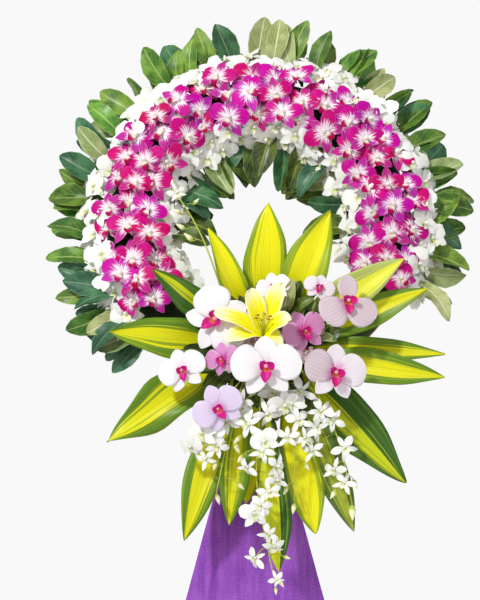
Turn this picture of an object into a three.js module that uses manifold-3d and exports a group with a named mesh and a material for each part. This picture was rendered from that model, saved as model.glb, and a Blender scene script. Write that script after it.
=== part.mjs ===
// Standing funeral wreath: a horseshoe of white and magenta dendrobium heads with leaf fringes on a
// floral-foam ring, a focal bouquet of striped leaves, moth orchids, a lily and hanging sprays at its
// foot, on a timber tripod whose front is dressed with a purple cloth skirt.
//
// Units are millimetres, +Z is up, and the wreath faces -Y. The front legs, the ring, the bouquet and
// the skirt share one frame that leans back: in it, x runs to the right, y to the back and z up along
// the lean. The part's origin is on the floor, under the middle of its bounding box.
import * as THREE from "three";
import { mergeVertices } from "three/addons/utils/BufferGeometryUtils.js";
import Module from "manifold-3d";

const wasm = await Module();
wasm.setup();

// ---- Driving dimensions ----
const LEAN = THREE.MathUtils.degToRad(9);
const GAP = 0.4; // between faces that touch

const RING = { height: 1118, mid: 240, halfWidth: 46, depth: 55 };
const BOARD = { thick: 9, overhang: 2 };
// The outside of the flower heads, about the foam's own middle.
const HEAP = { halfWidth: 102, depth: 105, clear: 2.4 };
const BANDS = { outerWhite: [12, 55], magenta: [57, 126], innerWhite: [128, 166] }; // degrees round the foam
const FLOWER_ARC = [-24, 218]; // degrees round the ring, from the right, anticlockwise
const OUTER_FRINGE = { arc: [-23, 226], root: 286.5, tip: 414, leaves: 42, pieces: 3 };
const INNER_FRINGE = { arc: [-10, 190], root: 193.5, tip: 88, leaves: 14, pieces: 2 };
const FRINGE = { front: -11, thick: 2.4 };

const STAND = { apex: 898, slope: 0.27, centre: -10, legWide: 31, legDeep: 28.5, legTop: 774 };
const CLOTH = { thick: 2, top: 792, hem: 10, wrap: 27 };
const MAST = { wide: 64, thick: 20, bottom: 640, top: 914 };
const REAR_LEG = { wide: 30, deep: 28, top: 770, setBack: 24, foot: 470 };
const HEAD_BLOCK = { wide: 50, span: [652, 762] }; // heights along the mast
const RAIL = { height: 250, tall: 36, thick: 18, end: 14 };
const STAY = { tall: 24, wide: 18, height: 255 };

const BOUQUET = { x: 9, z: 881, halfWide: 84, halfTall: 65, back: -60.5, front: -116 };
const TRAY = { halfWide: 104, halfTall: 76, thick: 4 };
const WIRE = { radius: 1.3, reach: 92, bottom: 838, top: 962, front: -64, back: 13 };

const COLOURS = {
  timber: 0xb98a5a, board: 0xc9a679, foam: 0x3f6b3a, tray: 0x2d4a30, steel: 0xb9bcc0,
  cloth: 0x8d4fb0, magenta: 0xd0159c, white: 0xf7f5ec, leaf: 0x3f6f35, striped: 0xc8cc1e,
  orchid: 0xf6e9f4, lily: 0xf3ef6a, stem: 0x9db548,
};

// ---- Small helpers ----
const vec = (x, y, z) => new THREE.Vector3(x, y, z);
const rad = THREE.MathUtils.degToRad;

/** A closed geometry as a solid for cutting and joining. */
function toSolid(geometry) {
  const bare = geometry.index ? geometry.toNonIndexed() : geometry.clone();
  for (const name of Object.keys(bare.attributes)) {
    if (name !== "position") bare.deleteAttribute(name);
  }
  const merged = mergeVertices(bare, 1e-3);
  return new wasm.Manifold(new wasm.Mesh({
    numProp: 3,
    vertProperties: merged.attributes.position.array,
    triVerts: new Uint32Array(merged.index.array),
  }));
}

/** A solid back as a three.js geometry. */
function toGeometry(solid) {
  const made = solid.getMesh();
  const geometry = new THREE.BufferGeometry();
  geometry.setAttribute("position", new THREE.BufferAttribute(new Float32Array(made.vertProperties), 3));
  geometry.setIndex(new THREE.BufferAttribute(new Uint32Array(made.triVerts), 1));
  geometry.computeVertexNormals();
  return geometry;
}

/** Joins closed geometries into one. */
const join = (...parts) => toGeometry(parts.map(toSolid).reduce((whole, next) => whole.add(next)));

/** Skins a closed solid over loops with equal numbers of points; outline gives the end caps' triangles. */
function loft(loops) {
  const count = loops[0].length;
  const points = loops.flat();
  const index = [];
  for (let row = 0; row + 1 < loops.length; row += 1) {
    for (let k = 0; k < count; k += 1) {
      const a = row * count + k;
      const b = row * count + ((k + 1) % count);
      index.push(a, b, b + count, a, b + count, a + count);
    }
  }
  const plane = new THREE.Plane().setFromCoplanarPoints(...loops[0].slice(0, 3));
  const flat = flatten(loops[0], plane.normal);
  const clockwise = THREE.ShapeUtils.isClockWise(flat);
  const last = (loops.length - 1) * count;
  for (const [a, b, c] of THREE.ShapeUtils.triangulateShape(flat, [])) {
    const [p, q] = clockwise ? [c, b] : [b, c];
    index.push(a, q, p, last + a, last + p, last + q);
  }
  const geometry = new THREE.BufferGeometry().setFromPoints(points).setIndex(index);
  const made = toSolid(geometry);
  if (made.volume() > 0) return geometry;
  for (let k = 0; k < index.length; k += 3) [index[k + 1], index[k + 2]] = [index[k + 2], index[k + 1]];
  return geometry.setIndex(index);
}

/** A loop's points as 2-D points in its own plane. */
function flatten(loop, normal) {
  const right = vec(1, 0, 0).cross(normal).lengthSq() > 0.1 ? vec(1, 0, 0) : vec(0, 1, 0);
  const u = right.clone().sub(normal.clone().multiplyScalar(right.dot(normal))).normalize();
  const v = normal.clone().cross(u);
  return loop.map((p) => new THREE.Vector2(p.dot(u), p.dot(v)));
}

/** A straight round rod with an even number of sides. */
function rod(from, to, radius, sides = 8) {
  const length = from.distanceTo(to);
  const geometry = new THREE.CylinderGeometry(radius, radius, length, sides);
  const turn = new THREE.Quaternion().setFromUnitVectors(vec(0, 1, 0), to.clone().sub(from).normalize());
  geometry.applyQuaternion(turn);
  return geometry.translate(...from.clone().add(to).multiplyScalar(0.5).toArray());
}

/** A thin tapering blade along a bent spine: a leaf or a petal. */
function blade({
  base, tip, lift, width, stalk, widest = 0.5, thick = 1.6, fold = 0.12, facing, steps = 7,
}) {
  const control = base.clone().add(tip).multiplyScalar(0.5).addScaledVector(facing, lift);
  const spine = new THREE.QuadraticBezierCurve3(base, control, tip);
  const loops = [];
  for (let k = 0; k <= steps; k += 1) {
    const along = k / steps;
    const centre = spine.getPoint(along);
    const tangent = spine.getTangent(along);
    const side = tangent.clone().cross(facing).normalize();
    const front = side.clone().cross(tangent).normalize();
    const half = bladeHalfWidth(along, width, stalk, widest);
    const raise = fold * half;
    loops.push([
      centre.clone().addScaledVector(side, -half).addScaledVector(front, raise),
      centre.clone().addScaledVector(front, -thick / 2),
      centre.clone().addScaledVector(side, half).addScaledVector(front, raise),
      centre.clone().addScaledVector(front, thick / 2),
    ]);
  }
  return loft(loops);
}

/** Half the blade's width at a share of its length: a stalk, a belly at the widest place and a point. */
function bladeHalfWidth(along, width, stalk, widest) {
  const warped = Math.pow(along, Math.log(0.5) / Math.log(widest));
  return Math.max(stalk / 2 * (1 - along), (width / 2) * Math.pow(Math.sin(Math.PI * warped), 0.85), 0.5);
}

// ---- Stand ----
/** Half the skirt's width at a height along the lean. */
const skirtHalf = (height) => STAND.slope * (STAND.apex - height);

/** A front leg: its top is level in the leaning frame and its foot is cut to the floor. */
function frontLeg(side) {
  const geometry = new THREE.BoxGeometry(STAND.legWide, STAND.legDeep, 1);
  geometry.translate(0, 9 - GAP - STAND.legDeep / 2, 0);
  const place = geometry.attributes.position;
  for (let k = 0; k < place.count; k += 1) {
    const y = place.getY(k);
    const z = place.getZ(k) > 0 ? STAND.legTop : y * Math.tan(LEAN);
    const middle = skirtHalf(z) - CLOTH.thick - GAP - STAND.legWide / 2;
    place.setXYZ(k, STAND.centre + side * middle + place.getX(k), y, z);
  }
  return geometry;
}

/** A point of the leaning frame in the standing frame. */
function leanPoint(x, y, z) {
  return vec(x, y, z).applyAxisAngle(vec(1, 0, 0), -LEAN);
}

/** The middle of the rear leg's level top, in the standing frame. */
const rearLegTop = () => leanPoint(STAND.centre, BOARD.thick + MAST.thick + REAR_LEG.setBack, REAR_LEG.top);

/** The rear leg, in the standing frame: a batten with a level top and foot. */
function rearLeg() {
  const top = rearLegTop();
  const geometry = new THREE.BoxGeometry(REAR_LEG.wide, REAR_LEG.deep, top.z).translate(0, 0, top.z / 2);
  const slope = (top.y - REAR_LEG.foot) / top.z;
  const shear = new THREE.Matrix4().set(1, 0, 0, 0, 0, 1, slope, 0, 0, 0, 1, 0, 0, 0, 0, 1);
  return geometry.applyMatrix4(shear).translate(STAND.centre, REAR_LEG.foot, 0);
}

/** Where the rear leg's front face stands at a height, in the standing frame. */
function rearLegFace(z) {
  const top = rearLegTop();
  return REAR_LEG.foot + ((top.y - REAR_LEG.foot) * z) / top.z - REAR_LEG.deep / 2;
}

/** The wedge between the mast and the rear leg, in the standing frame. */
function headBlock() {
  const outline = [];
  for (const height of HEAD_BLOCK.span) {
    const onMast = leanPoint(0, BOARD.thick + MAST.thick + 2 * GAP, height);
    outline.push([onMast.y, onMast.z], [rearLegFace(onMast.z) - GAP, onMast.z]);
  }
  const [a, b, c, d] = outline.map((p) => new THREE.Vector2(...p));
  const side = new THREE.Shape([a, b, d, c]);
  const wedge = new THREE.ExtrudeGeometry(side, { depth: HEAD_BLOCK.wide, bevelEnabled: false });
  const toSide = new THREE.Matrix4().makeBasis(vec(0, 1, 0), vec(0, 0, 1), vec(1, 0, 0));
  return wedge.applyMatrix4(toSide).translate(STAND.centre - HEAD_BLOCK.wide / 2, 0, 0);
}

/** The purple skirt: a front panel that narrows upwards, with its edges wrapped round the legs. */
function skirt() {
  const half = skirtHalf(0);
  const front = 9 - GAP - STAND.legDeep - GAP;
  const back = front + CLOTH.wrap;
  const outline = new THREE.Shape([
    [-half, back], [-half, front - CLOTH.thick], [half, front - CLOTH.thick], [half, back],
    [half - CLOTH.thick, back], [half - CLOTH.thick, front],
    [CLOTH.thick - half, front], [CLOTH.thick - half, back],
  ].map((p) => new THREE.Vector2(...p)));
  const geometry = new THREE.ExtrudeGeometry(outline, { depth: CLOTH.top, bevelEnabled: false, steps: 4 });
  const place = geometry.attributes.position;
  for (let k = 0; k < place.count; k += 1) {
    const z = CLOTH.hem + (place.getZ(k) / CLOTH.top) * (CLOTH.top - CLOTH.hem);
    const x = place.getX(k);
    place.setXYZ(k, STAND.centre + x - Math.sign(x) * STAND.slope * z, place.getY(k), z);
  }
  return geometry;
}

// ---- Ring ----
/** A closed ring of revolution about the wreath's own axis, from a profile of [radius, y] points. */
function ringOf(profile, sides) {
  const points = [...profile, profile[0]].map(([radius, y]) => new THREE.Vector2(radius, y));
  return new THREE.LatheGeometry(points, sides).translate(0, 0, RING.height);
}

/** The foam's half-round section: half sizes, and degrees round from the outer edge over the front. */
function sectionPoint(halfWidth, depth, degrees) {
  return [RING.mid + halfWidth * Math.cos(rad(degrees)), -depth * Math.sin(rad(degrees))];
}

function foamRing() {
  const steps = 8;
  const section = Array.from({ length: steps + 1 }, (_, k) => (180 * (steps - k)) / steps);
  return ringOf(section.map((degrees) => sectionPoint(RING.halfWidth, RING.depth, degrees)), 40);
}

function ringBoard() {
  const half = RING.halfWidth + BOARD.overhang;
  const [inner, outer] = [RING.mid - half, RING.mid + half];
  return ringOf([[inner, GAP], [outer, GAP], [outer, BOARD.thick], [inner, BOARD.thick]], 40);
}

/** A stretch of one flower band, from the foam out to the faces of the heads. */
function bandPiece([low, high], from, to) {
  const across = 5;
  const inside = [];
  const outside = [];
  for (let k = 0; k <= across; k += 1) {
    const degrees = low + ((high - low) * k) / across;
    inside.push(sectionPoint(RING.halfWidth + HEAP.clear, RING.depth + HEAP.clear, degrees));
    outside.unshift(sectionPoint(HEAP.halfWidth, HEAP.depth, degrees));
  }
  const steps = Math.max(3, Math.round((to - from) / 10));
  const loops = Array.from({ length: steps + 1 }, (_, k) => {
    const turn = rad(from + ((to - from) * k) / steps);
    const along = ([r, y]) => vec(r * Math.cos(turn), y, RING.height + r * Math.sin(turn));
    return [...inside, ...outside].map(along);
  });
  return loft(loops);
}

/** A flat stretch of leaf fringe: a strip along the foam with leaf-shaped lobes. */
function fringePiece({ root, tip, leaves, arc }, from, to) {
  const inward = tip < root;
  const belt = root + (tip - root) * 0.4;
  const pitch = (arc[1] - arc[0]) / leaves;
  const lobes = Math.round((to - from) / pitch);
  const outline = [];
  for (let k = 0; k <= lobes * 2; k += 1) outline.push([root, from + (k * pitch) / 2]);
  const lobe = [[0.5, 0.3], [0.3, 0.8], [0, 1], [-0.3, 0.8], [-0.5, 0.3]];
  for (let k = lobes - 1; k >= 0; k -= 1) {
    const middle = from + (k + 0.5) * pitch;
    const reach = 1 - 0.07 * ((k * 7) % 3);
    for (const [across, out] of lobe) {
      if (out === 0.3 && across === -0.5 && k > 0) continue;
      outline.push([belt + (tip - belt) * reach * out, middle + across * pitch * 0.98]);
    }
  }
  const shape = new THREE.Shape(outline.map(([r, degrees]) => {
    const turn = rad(degrees);
    return new THREE.Vector2(r * Math.cos(turn), r * Math.sin(turn));
  }));
  const geometry = new THREE.ExtrudeGeometry(shape, { depth: FRINGE.thick, bevelEnabled: false });
  geometry.rotateX(Math.PI / 2).translate(0, FRINGE.front + FRINGE.thick, RING.height);
  return geometry;
}

// ---- Bouquet ----
/** A rounded elliptical puck on the bouquet's middle, from a profile of [share of size, y] points. */
function puck(halfWide, halfTall, profile, sides) {
  const points = profile.map(([share, y]) => new THREE.Vector2(share, y));
  const geometry = new THREE.LatheGeometry(points, sides);
  return geometry.scale(halfWide, 1, halfTall).translate(BOUQUET.x, 0, BOUQUET.z);
}

function bouquetFoam() {
  const { front, back } = BOUQUET;
  const profile = [[0, front], [0.85, front + 1], [0.95, front + 6], [1, front + 14], [1, back], [0, back]];
  return puck(BOUQUET.halfWide, BOUQUET.halfTall, profile, 20);
}

function bouquetTray() {
  const front = BOUQUET.back + GAP;
  const back = front + TRAY.thick;
  return puck(TRAY.halfWide, TRAY.halfTall, [[0, front], [1, front], [1, back], [0, back]], 20);
}

/** A wire loop tied round the tray, the foam ring and its board. */
function bindingWire(side) {
  const x = BOUQUET.x + side * WIRE.reach;
  const middle = vec(x, (WIRE.front + WIRE.back) / 2, (WIRE.bottom + WIRE.top) / 2);
  const geometry = new THREE.TorusGeometry(Math.SQRT1_2, 0.02, 6, 4, Math.PI * 2).rotateZ(Math.PI / 4);
  geometry.scale(WIRE.back - WIRE.front, WIRE.top - WIRE.bottom, WIRE.radius / 0.02);
  return geometry.rotateX(Math.PI / 2).rotateZ(Math.PI / 2).translate(...middle.toArray());
}

// A striped leaf: the side of the foam that it leaves, in degrees round, its tip in the leaning frame
// [x, height], width, how far its root and tip stand to the front, and its forward bow.
const STRIPED_LEAVES = {
  top_left: { at: 112, tip: [-94, 1091], width: 44, root: 94, out: 150, bow: 26 },
  top_centre: { at: 92, tip: [14, 1141], width: 80, root: 82, out: 132, bow: 22 },
  top_right: { at: 64, tip: [125, 1127], width: 78, root: 84, out: 136, bow: 24 },
  upper_right: { at: 40, tip: [257, 1035], width: 62, root: 92, out: 158, bow: 12 },
  right_high: { at: 21, tip: [299, 984], width: 60, root: 80, out: 140, bow: 4 },
  right_middle: { at: 3, tip: [329, 868], width: 48, root: 80, out: 122, bow: 8 },
  right_low: { at: -15, tip: [326, 824], width: 58, root: 94, out: 140, bow: 12 },
  lower_right: { at: -38, tip: [257, 639], width: 76, root: 82, out: 112, bow: 14 },
  foot_right: { at: -52, tip: [165, 554], width: 46, root: 97, out: 92, bow: 24 },
  foot_yellow: { at: -72, tip: [97, 550], width: 58, root: 80, out: 112, bow: 14 },
  foot_centre: { at: -88, tip: [31, 484], width: 46, root: 94, out: 134, bow: 18 },
  foot_inner: { at: -103, tip: [-25, 604], width: 42, root: 78, out: 100, bow: 12 },
  foot_left: { at: -117, tip: [-56, 565], width: 46, root: 94, out: 122, bow: 18 },
  lower_left: { at: -133, tip: [-136, 538], width: 52, root: 82, out: 104, bow: 20 },
  left_low: { at: -160, tip: [-272, 710], width: 68, root: 86, out: 128, bow: 16 },
  left_middle: { at: 170, tip: [-271, 908], width: 74, root: 84, out: 128, bow: 10 },
  left_high: { at: 147, tip: [-194, 1017], width: 54, root: 94, out: 150, bow: 12 },
};

function stripedLeaf({ at, tip, width, root, out, bow }) {
  const [across, up] = [1.02 * Math.cos(rad(at)), 1.02 * Math.sin(rad(at))];
  const base = vec(BOUQUET.x + BOUQUET.halfWide * across, -root, BOUQUET.z + BOUQUET.halfTall * up);
  const end = vec(tip[0], -out, tip[1]);
  return blade({ base, tip: end, lift: bow, width, stalk: 7, widest: 0.5, facing: vec(0, -1, 0) });
}

/** Turns a flower that faces -Y: first rolled about its axis, then pitched up, then turned to the right. */
function facing({ roll = 0, up = 0, right = 0 }) {
  return new THREE.Matrix4().makeRotationZ(rad(right))
    .multiply(new THREE.Matrix4().makeRotationX(rad(-up)))
    .multiply(new THREE.Matrix4().makeRotationY(rad(roll)));
}

// A moth orchid: its centre [x, y, height] in the leaning frame, its radius and how it is turned.
const MOTH_ORCHIDS = {
  front: { at: [8, -196, 834], radius: 57, up: 4 },
  far_left: { at: [-137, -168, 832], radius: 39, right: -14, roll: 12, root: 0.85 },
  inner_left: { at: [-67, -184, 850], radius: 31, right: -30, roll: -10 },
  lower_left: { at: [-74, -188, 764], radius: 42, right: -6, up: -8, root: 0.35 },
  pink: { at: [77, -139, 905], radius: 35, right: 16, up: 4, roll: -14, root: 0.4 },
  lower_right: { at: [128, -184, 826], radius: 46, right: 12, roll: 10 },
  upper_right: {
    at: [162, -190, 946], radius: 48, right: 24, up: 22, roll: -8, root: 0.8, via: [130, -124, 926],
  },
  small_right: { at: [104, -140, 984], radius: 26, right: 8, up: 10, roll: 20 },
  small_top: { at: [23, -142, 984], radius: 28, up: 12, roll: -16 },
  left: { at: [-84, -164, 927], radius: 56, right: -8, up: 4, roll: 8 },
};

/** Five petals and a lip on a small core, with a stalk back to the foam. */
function mothOrchid({ at, radius, root = 0.62, via, ...turn }) {
  const front = vec(0, -1, 0);
  const petals = [[90, 0.92, 0.62], [14, 1, 1], [166, 1, 1], [-54, 0.86, 0.5], [-126, 0.86, 0.5]];
  const parts = petals.map(([degrees, long, wide]) => blade({
    base: vec(0, 2, 0),
    tip: vec(Math.cos(rad(degrees)), 0.06, Math.sin(rad(degrees))).multiplyScalar(radius * long),
    lift: 3, width: radius * wide, stalk: 6, widest: 0.58, fold: 0.1, facing: front, steps: 4,
  }));
  const core = new THREE.IcosahedronGeometry(radius * 0.17, 0).translate(0, -radius * 0.1, -radius * 0.05);
  const lip = blade({
    base: vec(0, -radius * 0.08, 0), tip: vec(0, -radius * 0.3, -radius * 0.34), lift: 2,
    width: radius * 0.3,
    stalk: 5, facing: vec(0, -0.6, 0.8), steps: 3, thick: 2.4,
  });
  const flower = join(...parts, core, lip).applyMatrix4(facing(turn)).translate(...at);
  const path = [vec(...at), ...(via ? [vec(...via)] : []), foamPoint(vec(...at), root)];
  return join(flower, ...path.slice(1).map((point, k) => rod(path[k], point, 1.6, 6)));
}

/** A point just off the bouquet foam's face, on the way from its middle to a flower. */
function foamPoint(centre, share) {
  const { x, z, halfWide, halfTall, front } = BOUQUET;
  const way = new THREE.Vector2((centre.x - x) / halfWide, (centre.z - z) / halfTall);
  way.multiplyScalar(share / Math.max(1, way.length()));
  return vec(x + halfWide * way.x, front - 1.2, z + halfTall * way.y);
}

// The lily: its throat, and each tepal's tip from there, to the right, to the front and up.
const LILY = {
  at: [4, -150, 890], width: 30,
  tepals: [[-86, 46, 43], [-64, 44, -4], [-24, 34, 88], [32, 30, 100], [47, 40, 33], [26, 30, -18]],
};

/** The lily: six tepals that open upwards and to the front from a throat, on a stalk. */
function lily() {
  const throat = vec(...LILY.at);
  const parts = LILY.tepals.map(([right, front, up]) => blade({
    base: throat.clone(), tip: throat.clone().add(vec(right, -front, up)), lift: 10,
    width: LILY.width, stalk: 9, widest: 0.55, facing: vec(0, -1, 0.5).normalize(), steps: 5,
  }));
  const core = new THREE.IcosahedronGeometry(8, 1).translate(...LILY.at);
  return join(...parts, core, rod(throat, foamPoint(throat, 0.4), 3, 8));
}

// A hanging dendrobium spray: the points of its stem [x, y, height], and its heads as
// [x, height, radius].
const SPRAYS = {
  centre: {
    stem: [
      [6, -117, 850], [2, -152, 812], [-4, -168, 740], [-8, -168, 640], [8, -166, 540], [24, -164, 462],
    ],
    heads: [
      [23, 794, 19], [-32, 778, 18], [-22, 738, 19], [6, 708, 18], [26, 664, 18], [14, 622, 17],
      [-12, 582, 18], [12, 548, 15], [-11, 508, 14],
    ],
  },
  left: {
    stem: [[-26, -117, 846], [-34, -146, 806], [-54, -156, 752], [-64, -154, 690], [-78, -150, 622]],
    heads: [[-102, 722, 18], [-60, 744, 16], [-122, 700, 15], [-76, 700, 14]],
  },
  middle_right: {
    stem: [[38, -117, 846], [48, -148, 812], [56, -160, 750], [58, -158, 690], [58, -154, 606]],
    heads: [[54, 774, 17], [64, 746, 16], [46, 716, 15]],
  },
  right: {
    stem: [[62, -117, 856], [88, -140, 812], [118, -150, 756], [142, -148, 690], [158, -144, 604]],
    heads: [[97, 732, 17], [124, 748, 17], [146, 698, 17], [128, 660, 16]],
  },
};

const STEM_RADIUS = 1.7;

/** A small five-pointed head that faces the front. */
function starHead(centre, radius) {
  const outline = Array.from({ length: 10 }, (_, k) => {
    const reach = k % 2 ? radius * 0.5 : radius;
    return new THREE.Vector2(reach * Math.sin((k * Math.PI) / 5), reach * Math.cos((k * Math.PI) / 5));
  });
  const star = new THREE.ExtrudeGeometry(new THREE.Shape(outline), { depth: 3, bevelEnabled: false });
  return star.rotateX(Math.PI / 2).translate(...centre.toArray());
}

/** A spray: its stem and its heads, each on a short stalk from the nearest part of the stem. */
function spray({ stem, heads }) {
  const path = new THREE.CatmullRomCurve3(stem.map((p) => vec(...p)));
  const corner = (k) => new THREE.Vector2(Math.cos((k * Math.PI) / 3), Math.sin((k * Math.PI) / 3));
  const hexagon = new THREE.Shape([0, 1, 2, 3, 4, 5].map((k) => corner(k).multiplyScalar(STEM_RADIUS)));
  const parts = [new THREE.ExtrudeGeometry(hexagon, { extrudePath: path, steps: 18, bevelEnabled: false })];
  const nodes = path.getSpacedPoints(40);
  for (const [x, height, radius] of heads) {
    const gap = (point) => Math.hypot(point.x - x, point.z - height - 8);
    const node = nodes.reduce((best, point) => (gap(point) < gap(best) ? point : best));
    const centre = vec(x, node.y - 9, height);
    parts.push(rod(node, centre, 1.1, 5), starHead(centre, radius));
  }
  return join(...parts);
}

const BUD_SPRAY = {
  stem: [[-44, -117, 905], [-72, -160, 985], [-100, -172, 1060], [-130, -160, 1120], [-160, -138, 1166]],
  heads: [[-124, 1068, 7], [-138, 1088, 7], [-144, 1118, 8], [-120, 1137, 7], [-150, 1158, 9]],
};

// ---- Assembly ----
const wreath = new THREE.Group();
const leaning = new THREE.Group();
leaning.rotation.x = -LEAN;
wreath.add(leaning);

const MATERIALS = Object.fromEntries(Object.entries(COLOURS).map(([name, color]) => {
  const [roughness, metalness] = name === "steel" ? [0.35, 0.9] : [0.7, 0];
  return [name, new THREE.MeshStandardMaterial({ color, roughness, metalness })];
}));

function add(group, name, geometry, material) {
  const mesh = new THREE.Mesh(geometry, MATERIALS[material]);
  mesh.name = name;
  group.add(mesh);
}

/** Adds a band or fringe as equal stretches of its arc. */
function addStretches(name, arc, pieces, make, material) {
  const clear = 0.12; // degrees left open between two stretches
  const pitch = (arc[1] - arc[0]) / pieces;
  for (let k = 0; k < pieces; k += 1) {
    add(leaning, `${name}_${k + 1}`, make(arc[0] + k * pitch, arc[0] + (k + 1) * pitch - clear), material);
  }
}

/** The stand: front legs, mast, head block, rear leg, rail and stay. */
function addStand() {
  add(leaning, "front_leg_left", frontLeg(-1), "timber");
  add(leaning, "front_leg_right", frontLeg(1), "timber");
  add(wreath, "rear_leg", rearLeg(), "timber");
  add(wreath, "head_block", headBlock(), "timber");
  const mast = new THREE.BoxGeometry(MAST.wide, MAST.thick, MAST.top - MAST.bottom);
  mast.translate(STAND.centre, BOARD.thick + GAP + MAST.thick / 2, (MAST.top + MAST.bottom) / 2);
  add(leaning, "mast", mast, "timber");
  const railLong = 2 * (skirtHalf(RAIL.height) - RAIL.end);
  const rail = new THREE.BoxGeometry(railLong, RAIL.thick, RAIL.tall);
  rail.translate(STAND.centre, BOARD.thick + RAIL.thick / 2, RAIL.height);
  add(leaning, "front_rail", rail, "timber");
  const from = leanPoint(0, BOARD.thick + RAIL.thick, RAIL.height).y + 5;
  const to = rearLegFace(STAY.height + STAY.tall / 2) - GAP;
  const stay = new THREE.BoxGeometry(STAY.wide, to - from, STAY.tall);
  add(wreath, "rear_stay", stay.translate(STAND.centre, (from + to) / 2, STAY.height), "timber");
}

/** The ring: board, foam, leaf fringes and the three flower bands. */
function addRing() {
  add(leaning, "ring_board", ringBoard(), "board");
  add(leaning, "foam_ring", foamRing(), "foam");
  for (const [name, fringe] of [["outer_leaves", OUTER_FRINGE], ["inner_leaves", INNER_FRINGE]]) {
    addStretches(name, fringe.arc, fringe.pieces, (from, to) => fringePiece(fringe, from, to), "leaf");
  }
  const bands = [
    ["outer_white_orchids", BANDS.outerWhite, 2, "white"],
    ["magenta_orchids", BANDS.magenta, 3, "magenta"],
    ["inner_white_orchids", BANDS.innerWhite, 2, "white"],
  ];
  for (const [name, band, pieces, material] of bands) {
    addStretches(name, FLOWER_ARC, pieces, (from, to) => bandPiece(band, from, to), material);
  }
}

/** The bouquet: tray, foam and wires, striped leaves, moth orchids, lily and sprays. */
function addBouquet() {
  add(leaning, "bouquet_tray", bouquetTray(), "tray");
  add(leaning, "bouquet_foam", bouquetFoam(), "foam");
  add(leaning, "binding_wire_left", bindingWire(-1), "steel");
  add(leaning, "binding_wire_right", bindingWire(1), "steel");
  for (const [name, leaf] of Object.entries(STRIPED_LEAVES)) {
    add(leaning, `striped_leaf_${name}`, stripedLeaf(leaf), "striped");
  }
  for (const [name, flower] of Object.entries(MOTH_ORCHIDS)) {
    add(leaning, `moth_orchid_${name}`, mothOrchid(flower), "orchid");
  }
  add(leaning, "lily", lily(), "lily");
  for (const [name, stem] of Object.entries(SPRAYS)) {
    add(leaning, `white_spray_${name}`, spray(stem), "white");
  }
  add(leaning, "bud_spray", spray(BUD_SPRAY), "stem");
}

addStand();
add(leaning, "purple_skirt", skirt(), "cloth");
addRing();
addBouquet();

// The origin goes on the floor under the middle of the bounding box.
wreath.updateMatrixWorld(true);
const box = new THREE.Box3().setFromObject(wreath, true);
wreath.position.set(-(box.min.x + box.max.x) / 2, -(box.min.y + box.max.y) / 2, 0);

export default wreath;
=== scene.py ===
"""Standing funeral wreath: orchid ring with leaf fringes, focal bouquet, timber tripod and purple skirt.

Everything is in metres. The front legs, the ring, the bouquet and the skirt share one frame that leans
back: in it x runs to the right, y to the back and z up along the lean. Lean.matrix takes a point of it
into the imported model's frame, where every finished piece has its place in its own mesh.
"""

from __future__ import annotations

import logging
from dataclasses import dataclass, field, replace
from enum import Enum
from math import copysign, cos, exp, hypot, log, pi, radians, sin, sqrt, tan, tau
from random import Random
from typing import Callable, Sequence

import bmesh
import bpy
from mathutils import Matrix, Vector, noise


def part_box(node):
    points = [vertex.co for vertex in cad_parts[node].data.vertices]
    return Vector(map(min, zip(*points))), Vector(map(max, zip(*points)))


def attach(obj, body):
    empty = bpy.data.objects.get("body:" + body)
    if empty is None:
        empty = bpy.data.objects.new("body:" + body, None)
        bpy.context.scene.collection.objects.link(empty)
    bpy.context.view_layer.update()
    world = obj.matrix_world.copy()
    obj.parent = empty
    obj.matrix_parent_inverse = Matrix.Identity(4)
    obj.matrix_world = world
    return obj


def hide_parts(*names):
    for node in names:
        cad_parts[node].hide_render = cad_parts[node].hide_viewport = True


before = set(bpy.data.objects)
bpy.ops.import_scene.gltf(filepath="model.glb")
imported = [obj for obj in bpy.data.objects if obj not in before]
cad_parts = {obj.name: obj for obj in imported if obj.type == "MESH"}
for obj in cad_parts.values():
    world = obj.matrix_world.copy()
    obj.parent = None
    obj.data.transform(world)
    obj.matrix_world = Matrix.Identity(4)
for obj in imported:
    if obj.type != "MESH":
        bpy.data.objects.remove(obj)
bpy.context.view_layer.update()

LOG = logging.getLogger("wreath")
BODY = "root"
UV_NAME = "PieceUV"
TINT_NAME = "tint"
LEAN_ANGLE = radians(9.0)
RING_MID = 0.240
RING_HALF = 0.046
RING_DEPTH = 0.055
RING_HEIGHT = 1.118
TO_VIEWER = Vector((0.0, -1.0, 0.0))

Colour = tuple[float, float, float, float]
Point = tuple[float, float, float]
Shape = bmesh.types.BMesh
Socket = bpy.types.NodeSocket


# ---- frames and small helpers ----


@dataclass(frozen=True)
class Lean:
    """The frame that leans back with the front legs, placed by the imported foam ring."""

    x: float
    y: float

    @classmethod
    def from_ring(cls) -> Lean:
        """Works the frame's place out of the foam ring's box."""
        low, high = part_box("foam_ring")
        return cls((low[0] + high[0]) / 2, high[1] - tan(LEAN_ANGLE) * high[2])

    @property
    def matrix(self) -> Matrix:
        """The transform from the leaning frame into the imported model's frame."""
        return Matrix.Translation((self.x, self.y, 0.0)) @ Matrix.Rotation(-LEAN_ANGLE, 4, "X")


LEAN = Lean.from_ring()


def rgb(red: int, green: int, blue: int) -> Colour:
    """A screen colour from 0 to 255 as the linear colour that a socket takes."""

    def linear(value: int) -> float:
        share = value / 255
        return share / 12.92 if share <= 0.04045 else ((share + 0.055) / 1.055) ** 2.4

    return (linear(red), linear(green), linear(blue), 1.0)


def smooth(value: float, low: float, high: float) -> float:
    """A soft step from 0 at low to 1 at high."""
    share = min(1.0, max(0.0, (value - low) / (high - low)))
    return share * share * (3 - 2 * share)


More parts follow.
